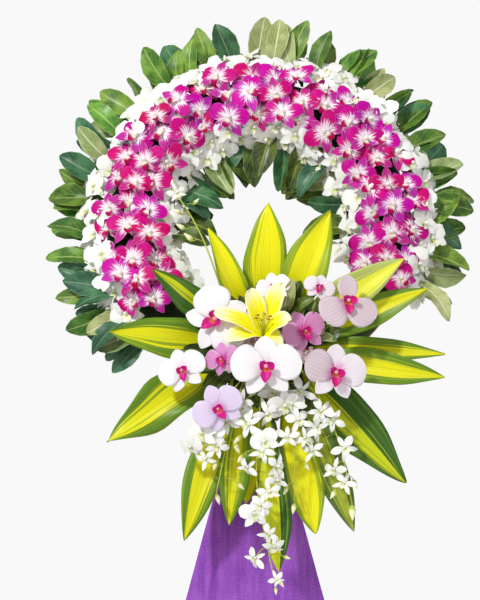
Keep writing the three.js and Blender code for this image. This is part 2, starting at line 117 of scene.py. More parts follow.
def turned(at: Sequence[float], up: float = 0.0, right: float = 0.0, roll: float = 0.0) -> Matrix:
    """Places a flower that is modelled facing +Z with +Y up.

    Args:
        at: Its centre in the leaning frame.
        up: Degrees that it looks upwards.
        right: Degrees that it looks to the right.
        roll: Degrees that it turns about its own axis.

    Returns:
        The transform from the flower's own frame into the leaning frame.
    """
    return (
        Matrix.Translation(at)
        @ Matrix.Rotation(radians(right), 4, "Z")
        @ Matrix.Rotation(radians(-up), 4, "X")
        @ Matrix.Rotation(radians(roll), 4, "Y")
        @ Matrix.Rotation(radians(90), 4, "X")
    )


def looking(at: Vector, way: Vector, roll: float) -> Matrix:
    """Places a flower that faces +Z so that it looks along way, its +Y as near up as it can be.

    Args:
        at: Its centre in the leaning frame.
        way: The direction that it faces.
        roll: Radians that it turns about its own axis.

    Returns:
        The transform from the flower's own frame into the leaning frame.
    """
    front = way.normalized()
    up = Vector((0, 0, 1)) - front * front.z
    up = up.normalized() if up.length > 0.05 else Vector((0, 1, 0))
    side = up.cross(front).normalized()
    basis = Matrix((side, up, front)).transposed().to_4x4()
    return Matrix.Translation(at) @ basis @ Matrix.Rotation(roll, 4, "Z")


def standing(along: Vector, face: Vector) -> Matrix:
    """The turn of a leaf that grows along one way and faces another as nearly as it can."""
    face = (face - along * face.dot(along)).normalized()
    return Matrix((along.cross(face), along, face)).transposed().to_4x4()


# ---- shader wiring ----


class Graph:
    """Short calls for wiring one node tree."""

    def __init__(self, tree: bpy.types.NodeTree) -> None:
        """Starts on a tree, which may be a material's or a group's."""
        self.tree = tree

    def node(self, kind: str, **settings: object) -> bpy.types.Node:
        """Adds a node and sets its properties."""
        made = self.tree.nodes.new(kind)
        for name, value in settings.items():
            setattr(made, name, value)
        return made

    def feed(self, socket: Socket, value: object) -> None:
        """Links a socket to another one, or gives it a plain value."""
        if isinstance(value, Socket):
            self.tree.links.new(value, socket)
        else:
            socket.default_value = value

    def math(self, operation: str, *values: object) -> Socket:
        """One step of arithmetic."""
        made = self.node("ShaderNodeMath", operation=operation)
        for socket, value in zip(made.inputs, values):
            self.feed(socket, value)
        return made.outputs[0]

    def times(self, first: object, second: object) -> Socket:
        """The product of two values."""
        return self.math("MULTIPLY", first, second)

    def minus(self, first: object, second: object) -> Socket:
        """The difference of two values."""
        return self.math("SUBTRACT", first, second)

    def times_plus(self, value: object, factor: object, added: object) -> Socket:
        """A value times a factor, plus a value."""
        return self.math("MULTIPLY_ADD", value, factor, added)

    def off_middle(self, across: object) -> Socket:
        """How far a share from 0 to 1 is from the middle: 0 there and 1 at both edges."""
        return self.math("ABSOLUTE", self.times_plus(across, 2.0, -1.0))

    def mix(self, share: object, first: object, second: object) -> Socket:
        """Blends two colours."""
        made = self.node("ShaderNodeMix", data_type="RGBA")
        self.feed(made.inputs[0], share)
        self.feed(made.inputs[6], first)
        self.feed(made.inputs[7], second)
        return made.outputs[2]

    def step(self, value: object, low: object, high: object) -> Socket:
        """A soft step from 0 at low to 1 at high."""
        made = self.node("ShaderNodeMapRange", interpolation_type="SMOOTHSTEP")
        for name, fed in (("Value", value), ("From Min", low), ("From Max", high)):
            self.feed(made.inputs[name], fed)
        return made.outputs[0]

    def vector(self, x: object, y: object, z: object) -> Socket:
        """Three numbers as one vector."""
        made = self.node("ShaderNodeCombineXYZ")
        for socket, value in zip(made.inputs, (x, y, z)):
            self.feed(socket, value)
        return made.outputs[0]

    def noise(self, vector: object, scale: float, detail: float = 2.0) -> Socket:
        """Soft noise from 0 to 1."""
        made = self.node("ShaderNodeTexNoise")
        self.feed(made.inputs["Vector"], vector)
        made.inputs["Scale"].default_value = scale
        made.inputs["Detail"].default_value = detail
        return made.outputs[0]

    def place(self) -> tuple[Socket, Socket]:
        """How far across and along the piece's own sheet a point lies, each from 0 to 1."""
        made = self.node("ShaderNodeSeparateXYZ")
        self.feed(made.inputs[0], self.node("ShaderNodeUVMap", uv_map=UV_NAME).outputs[0])
        return made.outputs[0], made.outputs[1]

    def tint(self) -> Socket:
        """The number from 0 to 1 that each flower or leaf of a cluster has for itself."""
        return self.node("ShaderNodeAttribute", attribute_name=TINT_NAME).outputs["Fac"]

    def shift(self, colour: object, hue: object, value: object) -> Socket:
        """Turns a colour's hue and scales its brightness."""
        made = self.node("ShaderNodeHueSaturation")
        self.feed(made.inputs["Color"], colour)
        self.feed(made.inputs["Hue"], hue)
        self.feed(made.inputs["Value"], value)
        return made.outputs[0]


@dataclass(frozen=True)
class Effect:
    """A shader node group that several finishes share, built once.

    Attributes:
        name: The group's name.
        inputs: Each input's name with its socket type and first value.
        wire: Fills the group, given its graph and its inputs, and returns colour and height.
    """

    name: str
    inputs: dict[str, tuple[str, object]]
    wire: Callable[[Graph, dict[str, Socket]], tuple[object, object]]

    def tree(self) -> bpy.types.NodeTree:
        """The node group, made at its first use."""
        found = bpy.data.node_groups.get(self.name)
        if found:
            return found
        tree = bpy.data.node_groups.new(self.name, "ShaderNodeTree")
        for name, (kind, first) in self.inputs.items():
            tree.interface.new_socket(name, in_out="INPUT", socket_type=kind).default_value = first
        tree.interface.new_socket("Color", in_out="OUTPUT", socket_type="NodeSocketColor")
        tree.interface.new_socket("Height", in_out="OUTPUT", socket_type="NodeSocketFloat")
        graph = Graph(tree)
        given = graph.node("NodeGroupInput").outputs
        colour, height = self.wire(graph, {name: given[name] for name in self.inputs})
        result = graph.node("NodeGroupOutput")
        graph.feed(result.inputs["Color"], colour)
        graph.feed(result.inputs["Height"], height)
        return tree

    def use(self, graph: Graph, **values: object) -> tuple[Socket, Socket]:
        """Places the group in a material.

        Args:
            graph: The material's graph.
            values: A value or socket for each input, by name.

        Returns:
            The group's colour and height outputs.
        """
        made = graph.node("ShaderNodeGroup", node_tree=self.tree())
        for name, value in values.items():
            graph.feed(made.inputs[name], value)
        return made.outputs["Color"], made.outputs["Height"]


COLOUR, NUMBER, VECTOR = "NodeSocketColor", "NodeSocketFloat", "NodeSocketVector"
WHITE: Colour = (1.0, 1.0, 1.0, 1.0)


def _wire_petal(graph: Graph, given: dict[str, Socket]) -> tuple[object, object]:
    """A throat colour that runs out in rays into the body, a pale rim and fine lengthwise veins."""
    across, along = graph.place()
    tint = graph.tint()
    off = graph.off_middle(across)
    lane = graph.times_plus(tint, 37.0, graph.times(across, 9.0))
    rays = graph.noise(graph.vector(lane, graph.times(along, 1.3), 0.0), 1.0, 3.0)
    reach = graph.times_plus(graph.minus(rays, 0.5), given["Rays"], along)
    low = graph.minus(given["Reach"], 0.12)
    high = graph.math("ADD", given["Reach"], 0.18)
    colour = graph.mix(graph.step(reach, low, high), given["Throat"], given["Body"])
    rim = graph.step(graph.math("ADD", graph.times(off, 0.9), graph.times(rays, 0.25)), 0.78, 1.08)
    colour = graph.mix(graph.times(rim, given["Rim Share"]), colour, given["Rim"])
    veins = graph.math("SINE", graph.times_plus(rays, 5.0, graph.times(across, 58.0)))
    veins = graph.math("POWER", graph.times_plus(veins, 0.5, 0.5), 3.0)
    strength = graph.times(veins, given["Veins"])
    colour = graph.mix(strength, colour, given["Vein"])
    hue = graph.times_plus(tint, given["Hue Span"], graph.times_plus(given["Hue Span"], -0.5, 0.5))
    value = graph.times_plus(graph.math("FRACT", graph.times(tint, 7.3)), 0.16, 0.9)
    return graph.shift(colour, hue, value), veins


PETAL = Effect(
    "petal_colour",
    {
        "Throat": (COLOUR, WHITE), "Body": (COLOUR, WHITE), "Rim": (COLOUR, WHITE), "Vein": (COLOUR, WHITE),
        "Reach": (NUMBER, 0.3), "Rays": (NUMBER, 0.5), "Rim Share": (NUMBER, 0.3), "Veins": (NUMBER, 0.1),
        "Hue Span": (NUMBER, 0.02),
    },
    _wire_petal,
)


def _wire_leaf(graph: Graph, given: dict[str, Socket]) -> tuple[object, object]:
    """A blotchy green blade with a pale midrib and slanting side veins."""
    across, along = graph.place()
    tint = graph.tint()
    off = graph.off_middle(across)
    spot = graph.node("ShaderNodeTexCoord").outputs["Object"]
    blotch = graph.step(graph.noise(spot, 38.0, 4.0), 0.36, 0.66)
    colour = graph.mix(graph.times(blotch, 0.75), given["Shade"], given["Body"])
    slant = graph.minus(graph.times(along, 8.0), graph.times(off, 2.4))
    saw = graph.math("ABSOLUTE", graph.minus(graph.math("FRACT", slant), 0.5))
    veins = graph.minus(1.0, graph.step(saw, 0.02, 0.11))
    rib = graph.minus(1.0, graph.step(off, 0.03, 0.10))
    lines = graph.math("MAXIMUM", rib, graph.times(veins, 0.32))
    colour = graph.mix(graph.times(lines, given["Vein Share"]), colour, given["Vein"])
    rim = graph.times(graph.step(off, 0.9, 1.0), 0.4)
    colour = graph.mix(rim, colour, given["Vein"])
    hue = graph.times_plus(tint, -0.045, 0.5225)
    value = graph.times_plus(graph.math("FRACT", graph.times(tint, 9.7)), 0.5, 0.72)
    height = graph.minus(graph.times(blotch, 0.12), lines)
    return graph.shift(colour, hue, value), height


LEAF = Effect(
    "leaf_colour",
    {
        "Body": (COLOUR, WHITE), "Shade": (COLOUR, WHITE), "Vein": (COLOUR, WHITE),
        "Vein Share": (NUMBER, 0.6),
    },
    _wire_leaf,
)


def _wire_stripes(graph: Graph, given: dict[str, Socket]) -> tuple[object, object]:
    """A centre colour and a margin colour that run into each other in lengthwise streaks."""
    across, along = graph.place()
    tint = graph.tint()
    middle = graph.math("ADD", graph.times_plus(across, 2.0, -1.0), given["Shift"])
    off = graph.math("ABSOLUTE", middle)
    lane = graph.times_plus(tint, 53.0, graph.times(across, 13.0))
    broad = graph.noise(graph.vector(lane, graph.times(along, 0.8), 0.0), 1.0, 2.0)
    fine_lane = graph.times_plus(tint, 31.0, graph.times(across, 58.0))
    fine = graph.noise(graph.vector(fine_lane, graph.times(along, 1.6), 4.0), 1.0, 2.0)
    streak = graph.times_plus(graph.minus(broad, 0.5), 1.1, off)
    streak = graph.times_plus(graph.minus(fine, 0.5), 0.35, streak)
    low = graph.minus(given["Spread"], 0.07)
    high = graph.math("ADD", given["Spread"], 0.07)
    mask = graph.step(streak, low, high)
    colour = graph.mix(mask, given["Centre"], given["Margin"])
    lime = graph.step(broad, 0.52, 0.62)
    colour = graph.mix(graph.times(lime, 0.45), colour, given["Between"])
    edge = graph.step(graph.off_middle(across), 0.93, 1.0)
    colour = graph.mix(graph.times(edge, 0.5), colour, given["Margin"])
    shade = graph.times_plus(fine, 0.5, 0.77)
    ribs = graph.math("SINE", graph.times(across, 150.0))
    rib = graph.minus(1.0, graph.step(graph.off_middle(across), 0.02, 0.06))
    height = graph.minus(graph.times_plus(ribs, 0.25, fine), graph.times(rib, 1.2))
    return graph.shift(colour, 0.5, shade), height


STRIPES = Effect(
    "leaf_stripes",
    {
        "Centre": (COLOUR, WHITE), "Margin": (COLOUR, WHITE), "Between": (COLOUR, WHITE),
        "Spread": (NUMBER, 0.55), "Shift": (NUMBER, 0.0),
    },
    _wire_stripes,
)


def _wire_grain(graph: Graph, given: dict[str, Socket]) -> tuple[object, object]:
    """Growth rings and fibres that run along the vector's first axis."""
    bend = graph.noise(given["Vector"], 1.4, 2.0)
    parts = graph.node("ShaderNodeSeparateXYZ")
    graph.feed(parts.inputs[0], given["Vector"])
    rings = graph.times_plus(bend, 9.0, graph.times(parts.outputs[1], 7.0))
    rings = graph.times_plus(graph.math("SINE", rings), 0.5, 0.5)
    wide = [graph.times(parts.outputs[k], 22.0) for k in (1, 2)]
    fibre = graph.noise(graph.vector(parts.outputs[0], *wide), 1.6, 4.0)
    share = graph.times_plus(fibre, 0.7, graph.times(graph.math("POWER", rings, 2.0), 0.45))
    dirt = graph.step(graph.noise(given["Vector"], 0.7, 3.0), 0.5, 0.75)
    colour = graph.mix(share, given["Light"], given["Dark"])
    colour = graph.mix(graph.times(dirt, 0.25), colour, given["Dark"])
    return colour, share


GRAIN = Effect(
    "timber_grain",
    {"Vector": (VECTOR, (0.0, 0.0, 0.0)), "Light": (COLOUR, WHITE), "Dark": (COLOUR, WHITE)},
    _wire_grain,
)


def _wire_weave(graph: Graph, given: dict[str, Socket]) -> tuple[object, object]:
    """Warp and weft threads on a sheet whose UV map is in metres, with soft slubs and wear."""
    across, along = graph.place()
    warp = graph.math("SINE", graph.times(across, given["Threads"]))
    weft = graph.math("SINE", graph.times(along, given["Threads"]))
    threads = graph.math("MAXIMUM", warp, weft)
    slub = graph.noise(graph.vector(graph.times(across, 90.0), graph.times(along, 9.0), 0.0), 1.0, 4.0)
    cloud = graph.noise(graph.vector(across, along, 3.0), 9.0, 5.0)
    speck = graph.noise(graph.vector(across, along, 8.0), 420.0, 2.0)
    share = graph.times_plus(slub, 0.45, graph.times(cloud, 0.55))
    share = graph.step(graph.times_plus(graph.minus(speck, 0.5), 0.5, share), 0.28, 0.74)
    colour = graph.mix(share, given["Shade"], given["Body"])
    height = graph.times_plus(threads, 0.5, graph.times(slub, 0.6))
    return colour, height


WEAVE = Effect(
    "cloth_weave",
    {"Body": (COLOUR, WHITE), "Shade": (COLOUR, WHITE), "Threads": (NUMBER, 5200.0)},
    _wire_weave,
)


def _wire_pores(graph: Graph, given: dict[str, Socket]) -> tuple[object, object]:
    """A crumbly or moulded surface: coarse blotches with fine pores."""
    spot = graph.node("ShaderNodeTexCoord").outputs["Object"]
    coarse = graph.noise(spot, 24.0, 4.0)
    fine = graph.noise(spot, 420.0, 3.0)
    colour = graph.mix(graph.step(coarse, 0.35, 0.65), given["Shade"], given["Body"])
    colour = graph.mix(graph.times(graph.step(fine, 0.5, 0.7), 0.4), colour, given["Shade"])
    return colour, graph.times_plus(coarse, 0.6, fine)


PORES = Effect(
    "porous_surface",
    {"Body": (COLOUR, WHITE), "Shade": (COLOUR, WHITE)},
    _wire_pores,
)


# ---- finishes ----


@dataclass(frozen=True)
class Finish:
    """What every finish has: a name and how its surface takes the light."""

    name: str
    roughness: float = 0.5
    relief: float = 0.2
    relief_depth: float = 0.0006
    sheen: float = 0.0
    coat: float = 0.0
    soft: float = 0.0
    metallic: float = 0.0
    gloss: float = 0.25

    def paint(self, graph: Graph) -> tuple[object, object]:
        """The surface's colour and height. Each kind of finish gives its own."""
        raise NotImplementedError

    def material(self) -> bpy.types.Material:
        """The Blender material, made at its first use."""
        name = f"{self.name}_finish"
        found = bpy.data.materials.get(name)
        if found:
            return found
        made = bpy.data.materials.new(name)
        made.use_nodes = True
        graph = Graph(made.node_tree)
        shader = made.node_tree.nodes["Principled BSDF"]
        settings = {
            "Roughness": self.roughness, "Sheen Weight": self.sheen, "Coat Weight": self.coat,
            "Coat Roughness": 0.3, "Metallic": self.metallic, "Specular IOR Level": self.gloss,
        }
        if self.soft:
            settings["Subsurface Weight"] = self.soft
            settings["Subsurface Radius"] = (0.006, 0.004, 0.004)
            settings["Subsurface Scale"] = 1.0
        for socket, value in settings.items():
            shader.inputs[socket].default_value = value
        colour, height = self.paint(graph)
        graph.feed(shader.inputs["Base Color"], colour)
        bump = graph.node("ShaderNodeBump")
        bump.inputs["Strength"].default_value = self.relief
        bump.inputs["Distance"].default_value = self.relief_depth
        graph.feed(bump.inputs["Height"], height)
        graph.feed(shader.inputs["Normal"], bump.outputs[0])
        return made


@dataclass(frozen=True)
class PetalFinish(Finish):
    """A petal: throat, body and rim colours, how far the throat reaches and how it runs out."""

    throat: Colour = WHITE
    body: Colour = WHITE
    rim: Colour = WHITE
    vein: Colour = WHITE
    reach: float = 0.3
    rays: float = 0.5
    rim_share: float = 0.3
    veins: float = 0.1
    hue_span: float = 0.02

    def paint(self, graph: Graph) -> tuple[object, object]:
        """Colours a petal from its throat to its rim."""
        return PETAL.use(graph, Throat=self.throat, Body=self.body, Rim=self.rim,
                         Vein=self.vein, Reach=self.reach,
                         Rays=self.rays, Veins=self.veins,
                         **{"Rim Share": self.rim_share, "Hue Span": self.hue_span})


@dataclass(frozen=True)
class LeafFinish(Finish):
    """A broad leaf with a midrib and side veins."""

    roughness: float = 0.4
    relief: float = 0.5
    relief_depth: float = 0.0012
    coat: float = 0.15
    body: Colour = WHITE
    shade: Colour = WHITE
    vein: Colour = WHITE
    vein_share: float = 0.6

    def paint(self, graph: Graph) -> tuple[object, object]:
        """Colours a leaf blade."""
        return LEAF.use(graph, Body=self.body, Shade=self.shade, Vein=self.vein,
                        **{"Vein Share": self.vein_share})


@dataclass(frozen=True)
class StripedFinish(Finish):
    """A long leaf with a centre and a margin colour."""

    roughness: float = 0.42
    relief: float = 0.4
    relief_depth: float = 0.0005
    coat: float = 0.1
    centre: Colour = WHITE
    margin: Colour = WHITE
    between: Colour = WHITE
    spread: float = 0.55
    shift: float = 0.0

    def paint(self, graph: Graph) -> tuple[object, object]:
        """Colours a striped leaf."""
        return STRIPES.use(graph, Centre=self.centre, Margin=self.margin,
                           Between=self.between, Spread=self.spread,
                           Shift=self.shift)


@dataclass(frozen=True)
class TimberFinish(Finish):
    """Sawn timber whose grain runs along one direction."""

    light: Colour = WHITE
    dark: Colour = WHITE
    along: Point = (0.0, 0.0, 1.0)

    def paint(self, graph: Graph) -> tuple[object, object]:
        """Colours a board with its grain along the board."""
        turn = Vector(self.along).normalized().rotation_difference(Vector((1, 0, 0))).to_euler()
        mapping = graph.node("ShaderNodeMapping")
        mapping.inputs["Rotation"].default_value = turn
        mapping.inputs["Scale"].default_value = (3.0, 34.0, 34.0)
        graph.feed(mapping.inputs["Vector"], graph.node("ShaderNodeTexCoord").outputs["Object"])
        return GRAIN.use(graph, Vector=mapping.outputs[0], Light=self.light, Dark=self.dark)


@dataclass(frozen=True)
class ClothFinish(Finish):
    """Woven cloth."""

    body: Colour = WHITE
    shade: Colour = WHITE

    def paint(self, graph: Graph) -> tuple[object, object]:
        """Colours cloth with its weave."""
        return WEAVE.use(graph, Body=self.body, Shade=self.shade)


@dataclass(frozen=True)
class PlainFinish(Finish):
    """Foam, moulded plastic or wire: two close colours in a porous or mottled surface."""

    body: Colour = WHITE
    shade: Colour = WHITE

    def paint(self, graph: Graph) -> tuple[object, object]:
        """Colours a plain stock surface."""
        return PORES.use(graph, Body=self.body, Shade=self.shade)


MAGENTA_PETAL = PetalFinish(
    "magenta_petal", gloss=0.12, throat=rgb(255, 244, 252), body=rgb(204, 2, 134), rim=rgb(216, 96, 200),
    vein=rgb(120, 0, 96), reach=0.34, rays=1.1, rim_share=0.4, veins=0.25, hue_span=0.07)
MAGENTA_SEPAL = PetalFinish(
    "magenta_sepal", gloss=0.12, throat=rgb(255, 244, 252), body=rgb(188, 6, 142), rim=rgb(232, 160, 222),
    vein=rgb(226, 150, 212), reach=0.36, rays=1.1, rim_share=0.5, veins=0.22, hue_span=0.07)
MAGENTA_LIP = PetalFinish(
    "magenta_lip", gloss=0.12, throat=rgb(255, 246, 226), body=rgb(176, 0, 84), rim=rgb(216, 40, 130),
    vein=rgb(120, 0, 56), reach=0.4, rays=0.5, rim_share=0.3, veins=0.35, hue_span=0.03)
WHITE_PETAL = PetalFinish(
    "white_petal", throat=rgb(226, 234, 190), body=rgb(252, 252, 247), rim=rgb(255, 255, 255),
    vein=rgb(222, 228, 206), reach=0.12, rays=0.25, rim_share=0.5, veins=0.2, hue_span=0.01)
WHITE_LIP = PetalFinish(
    "white_lip", throat=rgb(196, 212, 96), body=rgb(248, 248, 220), rim=rgb(255, 255, 248),
    vein=rgb(196, 206, 120), reach=0.34, rays=0.4, rim_share=0.5, veins=0.35, hue_span=0.02)
BLUSH_PETAL = PetalFinish(
    "blush_petal", throat=rgb(236, 176, 214), body=rgb(244, 222, 236), rim=rgb(252, 240, 248),
    vein=rgb(216, 150, 190), reach=0.3, rays=0.5, rim_share=0.5, veins=0.3, hue_span=0.04)
MOTH_COLUMN = PetalFinish(
    "moth_column", roughness=0.4, throat=rgb(214, 40, 120), body=rgb(246, 176, 196), rim=rgb(250, 210, 220),
    vein=rgb(220, 70, 130), reach=0.4, rays=0.3, rim_share=0.2, veins=0.3, hue_span=0.02)
COLUMN = PetalFinish(
    "flower_column", roughness=0.4, throat=rgb(246, 236, 190),
    body=rgb(255, 252, 246), rim=rgb(255, 252, 246),
    vein=rgb(226, 214, 160), reach=0.3, rays=0.2, rim_share=0.1, veins=0.1, hue_span=0.01)
STEM = PetalFinish(
    "flower_stem", throat=rgb(132, 146, 44), body=rgb(190, 198, 70), rim=rgb(176, 190, 78),
    vein=rgb(120, 138, 40), reach=0.3, rays=0.4, rim_share=0.1, veins=0.35, hue_span=0.03)
BUD = PetalFinish(
    "flower_bud", roughness=0.45, throat=rgb(186, 200, 84), body=rgb(250, 247, 206), rim=rgb(236, 238, 170),
    vein=rgb(214, 220, 130), reach=0.34, rays=0.4, rim_share=0.3, veins=0.35, hue_span=0.03)

LEAF_TOP = LeafFinish(
    "leaf_top", body=rgb(128, 170, 62), shade=rgb(62, 108, 34),
    vein=rgb(188, 206, 118), vein_share=0.6)
LEAF_BLUE = LeafFinish(
    "leaf_blue_green", body=rgb(88, 142, 96),
    shade=rgb(40, 88, 58), vein=rgb(150, 184, 146), vein_share=0.5)
LEAF_UNDER = LeafFinish(
    "leaf_underside", roughness=0.6, coat=0.0, body=rgb(192, 200, 144), shade=rgb(138, 154, 88),
    vein=rgb(228, 232, 190), vein_share=0.8)
LEAF_INNER = LeafFinish(
    "leaf_inner", roughness=0.34, coat=0.25, body=rgb(104, 134, 50), shade=rgb(44, 68, 26),
    vein=rgb(172, 188, 100), vein_share=0.6)

STRIPED_BRIGHT = StripedFinish(
    "striped_bright", centre=rgb(226, 222, 6),
    margin=rgb(98, 136, 30), between=rgb(168, 188, 18), spread=0.44)
STRIPED_YELLOW = StripedFinish(
    "striped_yellow", centre=rgb(240, 234, 10),
    margin=rgb(138, 166, 30), between=rgb(204, 212, 20), spread=0.66)
STRIPED_PALE = StripedFinish(
    "striped_pale", roughness=0.46, centre=rgb(232, 232, 60),
    margin=rgb(176, 190, 110), between=rgb(206, 216, 90), spread=0.5, shift=0.2)
STRIPED_GREEN = StripedFinish(
    "striped_green", roughness=0.4, coat=0.15, centre=rgb(196, 204, 16),
    margin=rgb(56, 98, 26), between=rgb(104, 138, 24), spread=0.3, shift=0.2)
STRIPED_OLIVE = StripedFinish(
    "striped_olive", roughness=0.45, centre=rgb(166, 178, 50),
    margin=rgb(84, 112, 44), between=rgb(128, 146, 50), spread=0.4)
STRIPED_HALF = StripedFinish(
    "striped_half", centre=rgb(206, 212, 12),
    margin=rgb(48, 92, 26), between=rgb(160, 182, 22), spread=0.74, shift=0.52)

TIMBER_LIGHT, TIMBER_DARK = rgb(206, 170, 120), rgb(140, 98, 58)
CLOTH = ClothFinish(
    "purple_cloth", roughness=0.72, relief=0.25, relief_depth=0.0005, gloss=0.15,
    sheen=0.05, body=rgb(176, 104, 210),
    shade=rgb(122, 58, 164))
FOAM = PlainFinish(
    "floral_foam", roughness=0.9, relief=0.6, relief_depth=0.002,
    body=rgb(44, 62, 28), shade=rgb(24, 34, 16))
TRAY = PlainFinish("tray_plastic", roughness=0.35, relief=0.1, body=rgb(36, 66, 40), shade=rgb(28, 52, 32))
WIRE = PlainFinish("galvanised_wire", roughness=0.32, relief=0.15, metallic=1.0,
                   body=rgb(190, 192, 194), shade=rgb(150, 152, 154))


# ---- petals, leaves and stems ----


@dataclass(frozen=True)
class Petal:
    """One petal, sepal or lobe of a flower of radius 1 that faces +Z with +Y up.

    Attributes:
        angle: Degrees round the flower, from +X.
        length: How far it reaches.
        width: Its widest width.
        belly: Where along its length it is widest.
        fullness: How squarely it fills its outline; lower is rounder.
        claw: The share of its width that its base keeps.
        rise: How steeply it leaves the flower's middle towards the viewer.
        fall: How strongly its outer part bends back.
        cup: How far its edges come forward, as a share of its half width.
        ruffle: How strongly its edge waves.
        pitch: Degrees that the whole petal is tipped forward about its base.
        start: Where its base stands.
        across: Faces across it.
        along: Faces along it.
        finish: The index of its material.
    """

    angle: float
    length: float
    width: float
    belly: float = 0.55
    fullness: float = 0.7
    claw: float = 0.12
    rise: float = 0.3
    fall: float = 0.3
    cup: float = 0.1
    ruffle: float = 0.0
    pitch: float = 0.0
    start: Point = (0.0, 0.0, 0.0)
    across: int = 3
    along: int = 5
    finish: int = 0

    def outline(self, along: float) -> float:
        """Its half width at a share of its length."""
        warped = along ** (log(0.5) / log(self.belly))
        full = max(0.0, sin(pi * min(1.0, warped))) ** self.fullness
        return self.width / 2 * max(full, self.claw * (1 - along), 0.04)

    def build(self, shape: Shape, scale: float, draw: Random) -> None:
        """Adds the petal to a flower.

        Args:
            shape: The flower so far.
            scale: The flower's radius.
            draw: The source of its small differences.
        """
        verts = add_grid(shape, self.across, self.along, self.finish)
        phase, skew = draw.uniform(0, tau), draw.uniform(-0.06, 0.06)
        turn = (
            Matrix.Rotation(radians(self.angle - 90 + draw.uniform(-4, 4)), 3, "Z")
            @ Matrix.Rotation(radians(self.pitch + draw.uniform(-4, 4)), 3, "X")
        )
        for vert in verts:
            side, along = vert.co.x, (vert.co.y + 1) / 2
            half = self.outline(along)
            wave = self.ruffle * sin(along * 11 + side * 2 + phase) * side * side
            lift = self.length * (self.rise * along - self.fall * along
                                  * along) + self.cup * half * side * side + wave
            flat = Vector((side * half + skew * along * along, self.length * along, lift))
            vert.co = (turn @ flat + Vector(self.start)) * scale


def new_shape() -> Shape:
    """An empty mesh with the UV map and the tint that the finishes read."""
    shape = bmesh.new()
    shape.loops.layers.uv.new(UV_NAME)
    shape.verts.layers.float.new(TINT_NAME)
    return shape


def add_grid(
    shape: Shape, across: int, along: int, finish: int = 0, even: bool = False
) -> list[bmesh.types.BMVert]:
    """Adds a grid from -1 to 1 each way with its UV map from 0 to 1, to be bent into a petal, leaf or cloth.

    Args:
        shape: The mesh that it is added to.
        across: Faces across it.
        along: Faces along it.
        finish: The index of its material.
        even: Whether its rows stand evenly, rather than closer at both ends.

    Returns:
        The grid's vertices.
    """
    layer = shape.loops.layers.uv[UV_NAME]
    verts = bmesh.ops.create_grid(shape, x_segments=across, y_segments=along, size=1.0)["verts"]
    if not even:
        for vert in verts:
            vert.co.y = -cos(pi * (vert.co.y + 1) / 2)
    for face in {face for vert in verts for face in vert.link_faces}:
        face.smooth = True
        face.material_index = finish
        for loop in face.loops:
            loop[layer].uv = ((loop.vert.co.x + 1) / 2, (loop.vert.co.y + 1) / 2)
    return verts


def grow(
    shape: Shape, edges: Sequence[bmesh.types.BMEdge]
) -> tuple[list[bmesh.types.BMVert], list[bmesh.types.BMEdge], list[bmesh.types.BMFace]]:
    """Extrudes a loop of edges and returns the new vertices, the new loop and the new faces."""
    grown = bmesh.ops.extrude_edge_only(shape, edges=edges)["geom"]
    verts = [item for item in grown if isinstance(item, bmesh.types.BMVert)]
    inside = set(verts)
    loop = [item for item in grown if isinstance(item, bmesh.types.BMEdge) and set(item.verts) <= inside]
    return verts, loop, [item for item in grown if isinstance(item, bmesh.types.BMFace)]


def sweep(
    shape: Shape, points: Sequence[Vector], radii: Sequence[float], sides: int = 8, finish: int = 0
) -> None:
    """Sweeps a round section along a path and closes its ends.

    Args:
        shape: The mesh that the tube is added to.
        points: The path.
        radii: The radius at each point.
        sides: The number of faces round it.
        finish: The index of its material.
    """
    uv_layer = shape.loops.layers.uv[UV_NAME]
    frames, side = [], None
    for k, point in enumerate(points):
        ahead = points[min(k + 1, len(points) - 1)] - points[max(k - 1, 0)]
        front = ahead.normalized()
        side = side or front.orthogonal()
        side = (side - front * side.dot(front)).normalized()
        basis = Matrix((side, front.cross(side), front)).transposed().to_4x4()
        frames.append(Matrix.Translation(point) @ basis @ Matrix.Scale(radii[k], 4))
    made = bmesh.ops.create_circle(shape, cap_ends=True, segments=sides, radius=1.0,
                                   matrix=frames[0])["verts"]
    edges = list({edge for vert in made for edge in vert.link_edges})
    faces = {face for vert in made for face in vert.link_faces}
    for k in range(1, len(points)):
        verts, edges, new = grow(shape, edges)
        inside = set(verts)
        faces.update(new)
        bmesh.ops.transform(shape, matrix=frames[k] @ frames[k - 1].inverted(), verts=verts)
        for face in new:
            for loop in face.loops:
                loop[uv_layer].uv = (0.5, (k if loop.vert in inside else k - 1) / (len(points) - 1))
    cap = bmesh.ops.contextual_create(shape, geom=edges)["faces"]
    faces.update(cap)
    bmesh.ops.recalc_face_normals(shape, faces=list(faces))
    for face in faces:
        face.smooth = True
        face.material_index = finish


def bezier(points: Sequence[Vector], count: int) -> list[Vector]:
    """Points along the Bezier curve of any number of control points."""
    made = []
    for k in range(count + 1):
        share, level = k / count, list(points)
        while len(level) > 1:
            level = [a.lerp(b, share) for a, b in zip(level, level[1:])]
        made.append(level[0])
    return made


def point_on(path: Sequence[Vector], share: float) -> tuple[Vector, int]:
    """A path's point at a share of its steps, and the number of the step that it lies in."""
    at = share * (len(path) - 1)
    step = min(len(path) - 2, int(at + 1e-6))
    return path[step].lerp(path[step + 1], at - step), step


def spline(points: Sequence[Vector], steps: int) -> list[Vector]:
    """A smooth path through points, with a number of steps between each two."""
    padded = [points[0] * 2 - points[1], *points, points[-1] * 2 - points[-2]]
    made = []
    for a, b, c, d in zip(padded, padded[1:], padded[2:], padded[3:]):
        for k in range(steps):
            t = k / steps
            made.append((
                (b * 2) + (c - a) * t + (a * 2 - b * 5 + c * 4 - d) * t * t + (b * 3 - a - c * 3 + d) * t**3
            ) / 2)
    made.append(points[-1].copy())
    return made


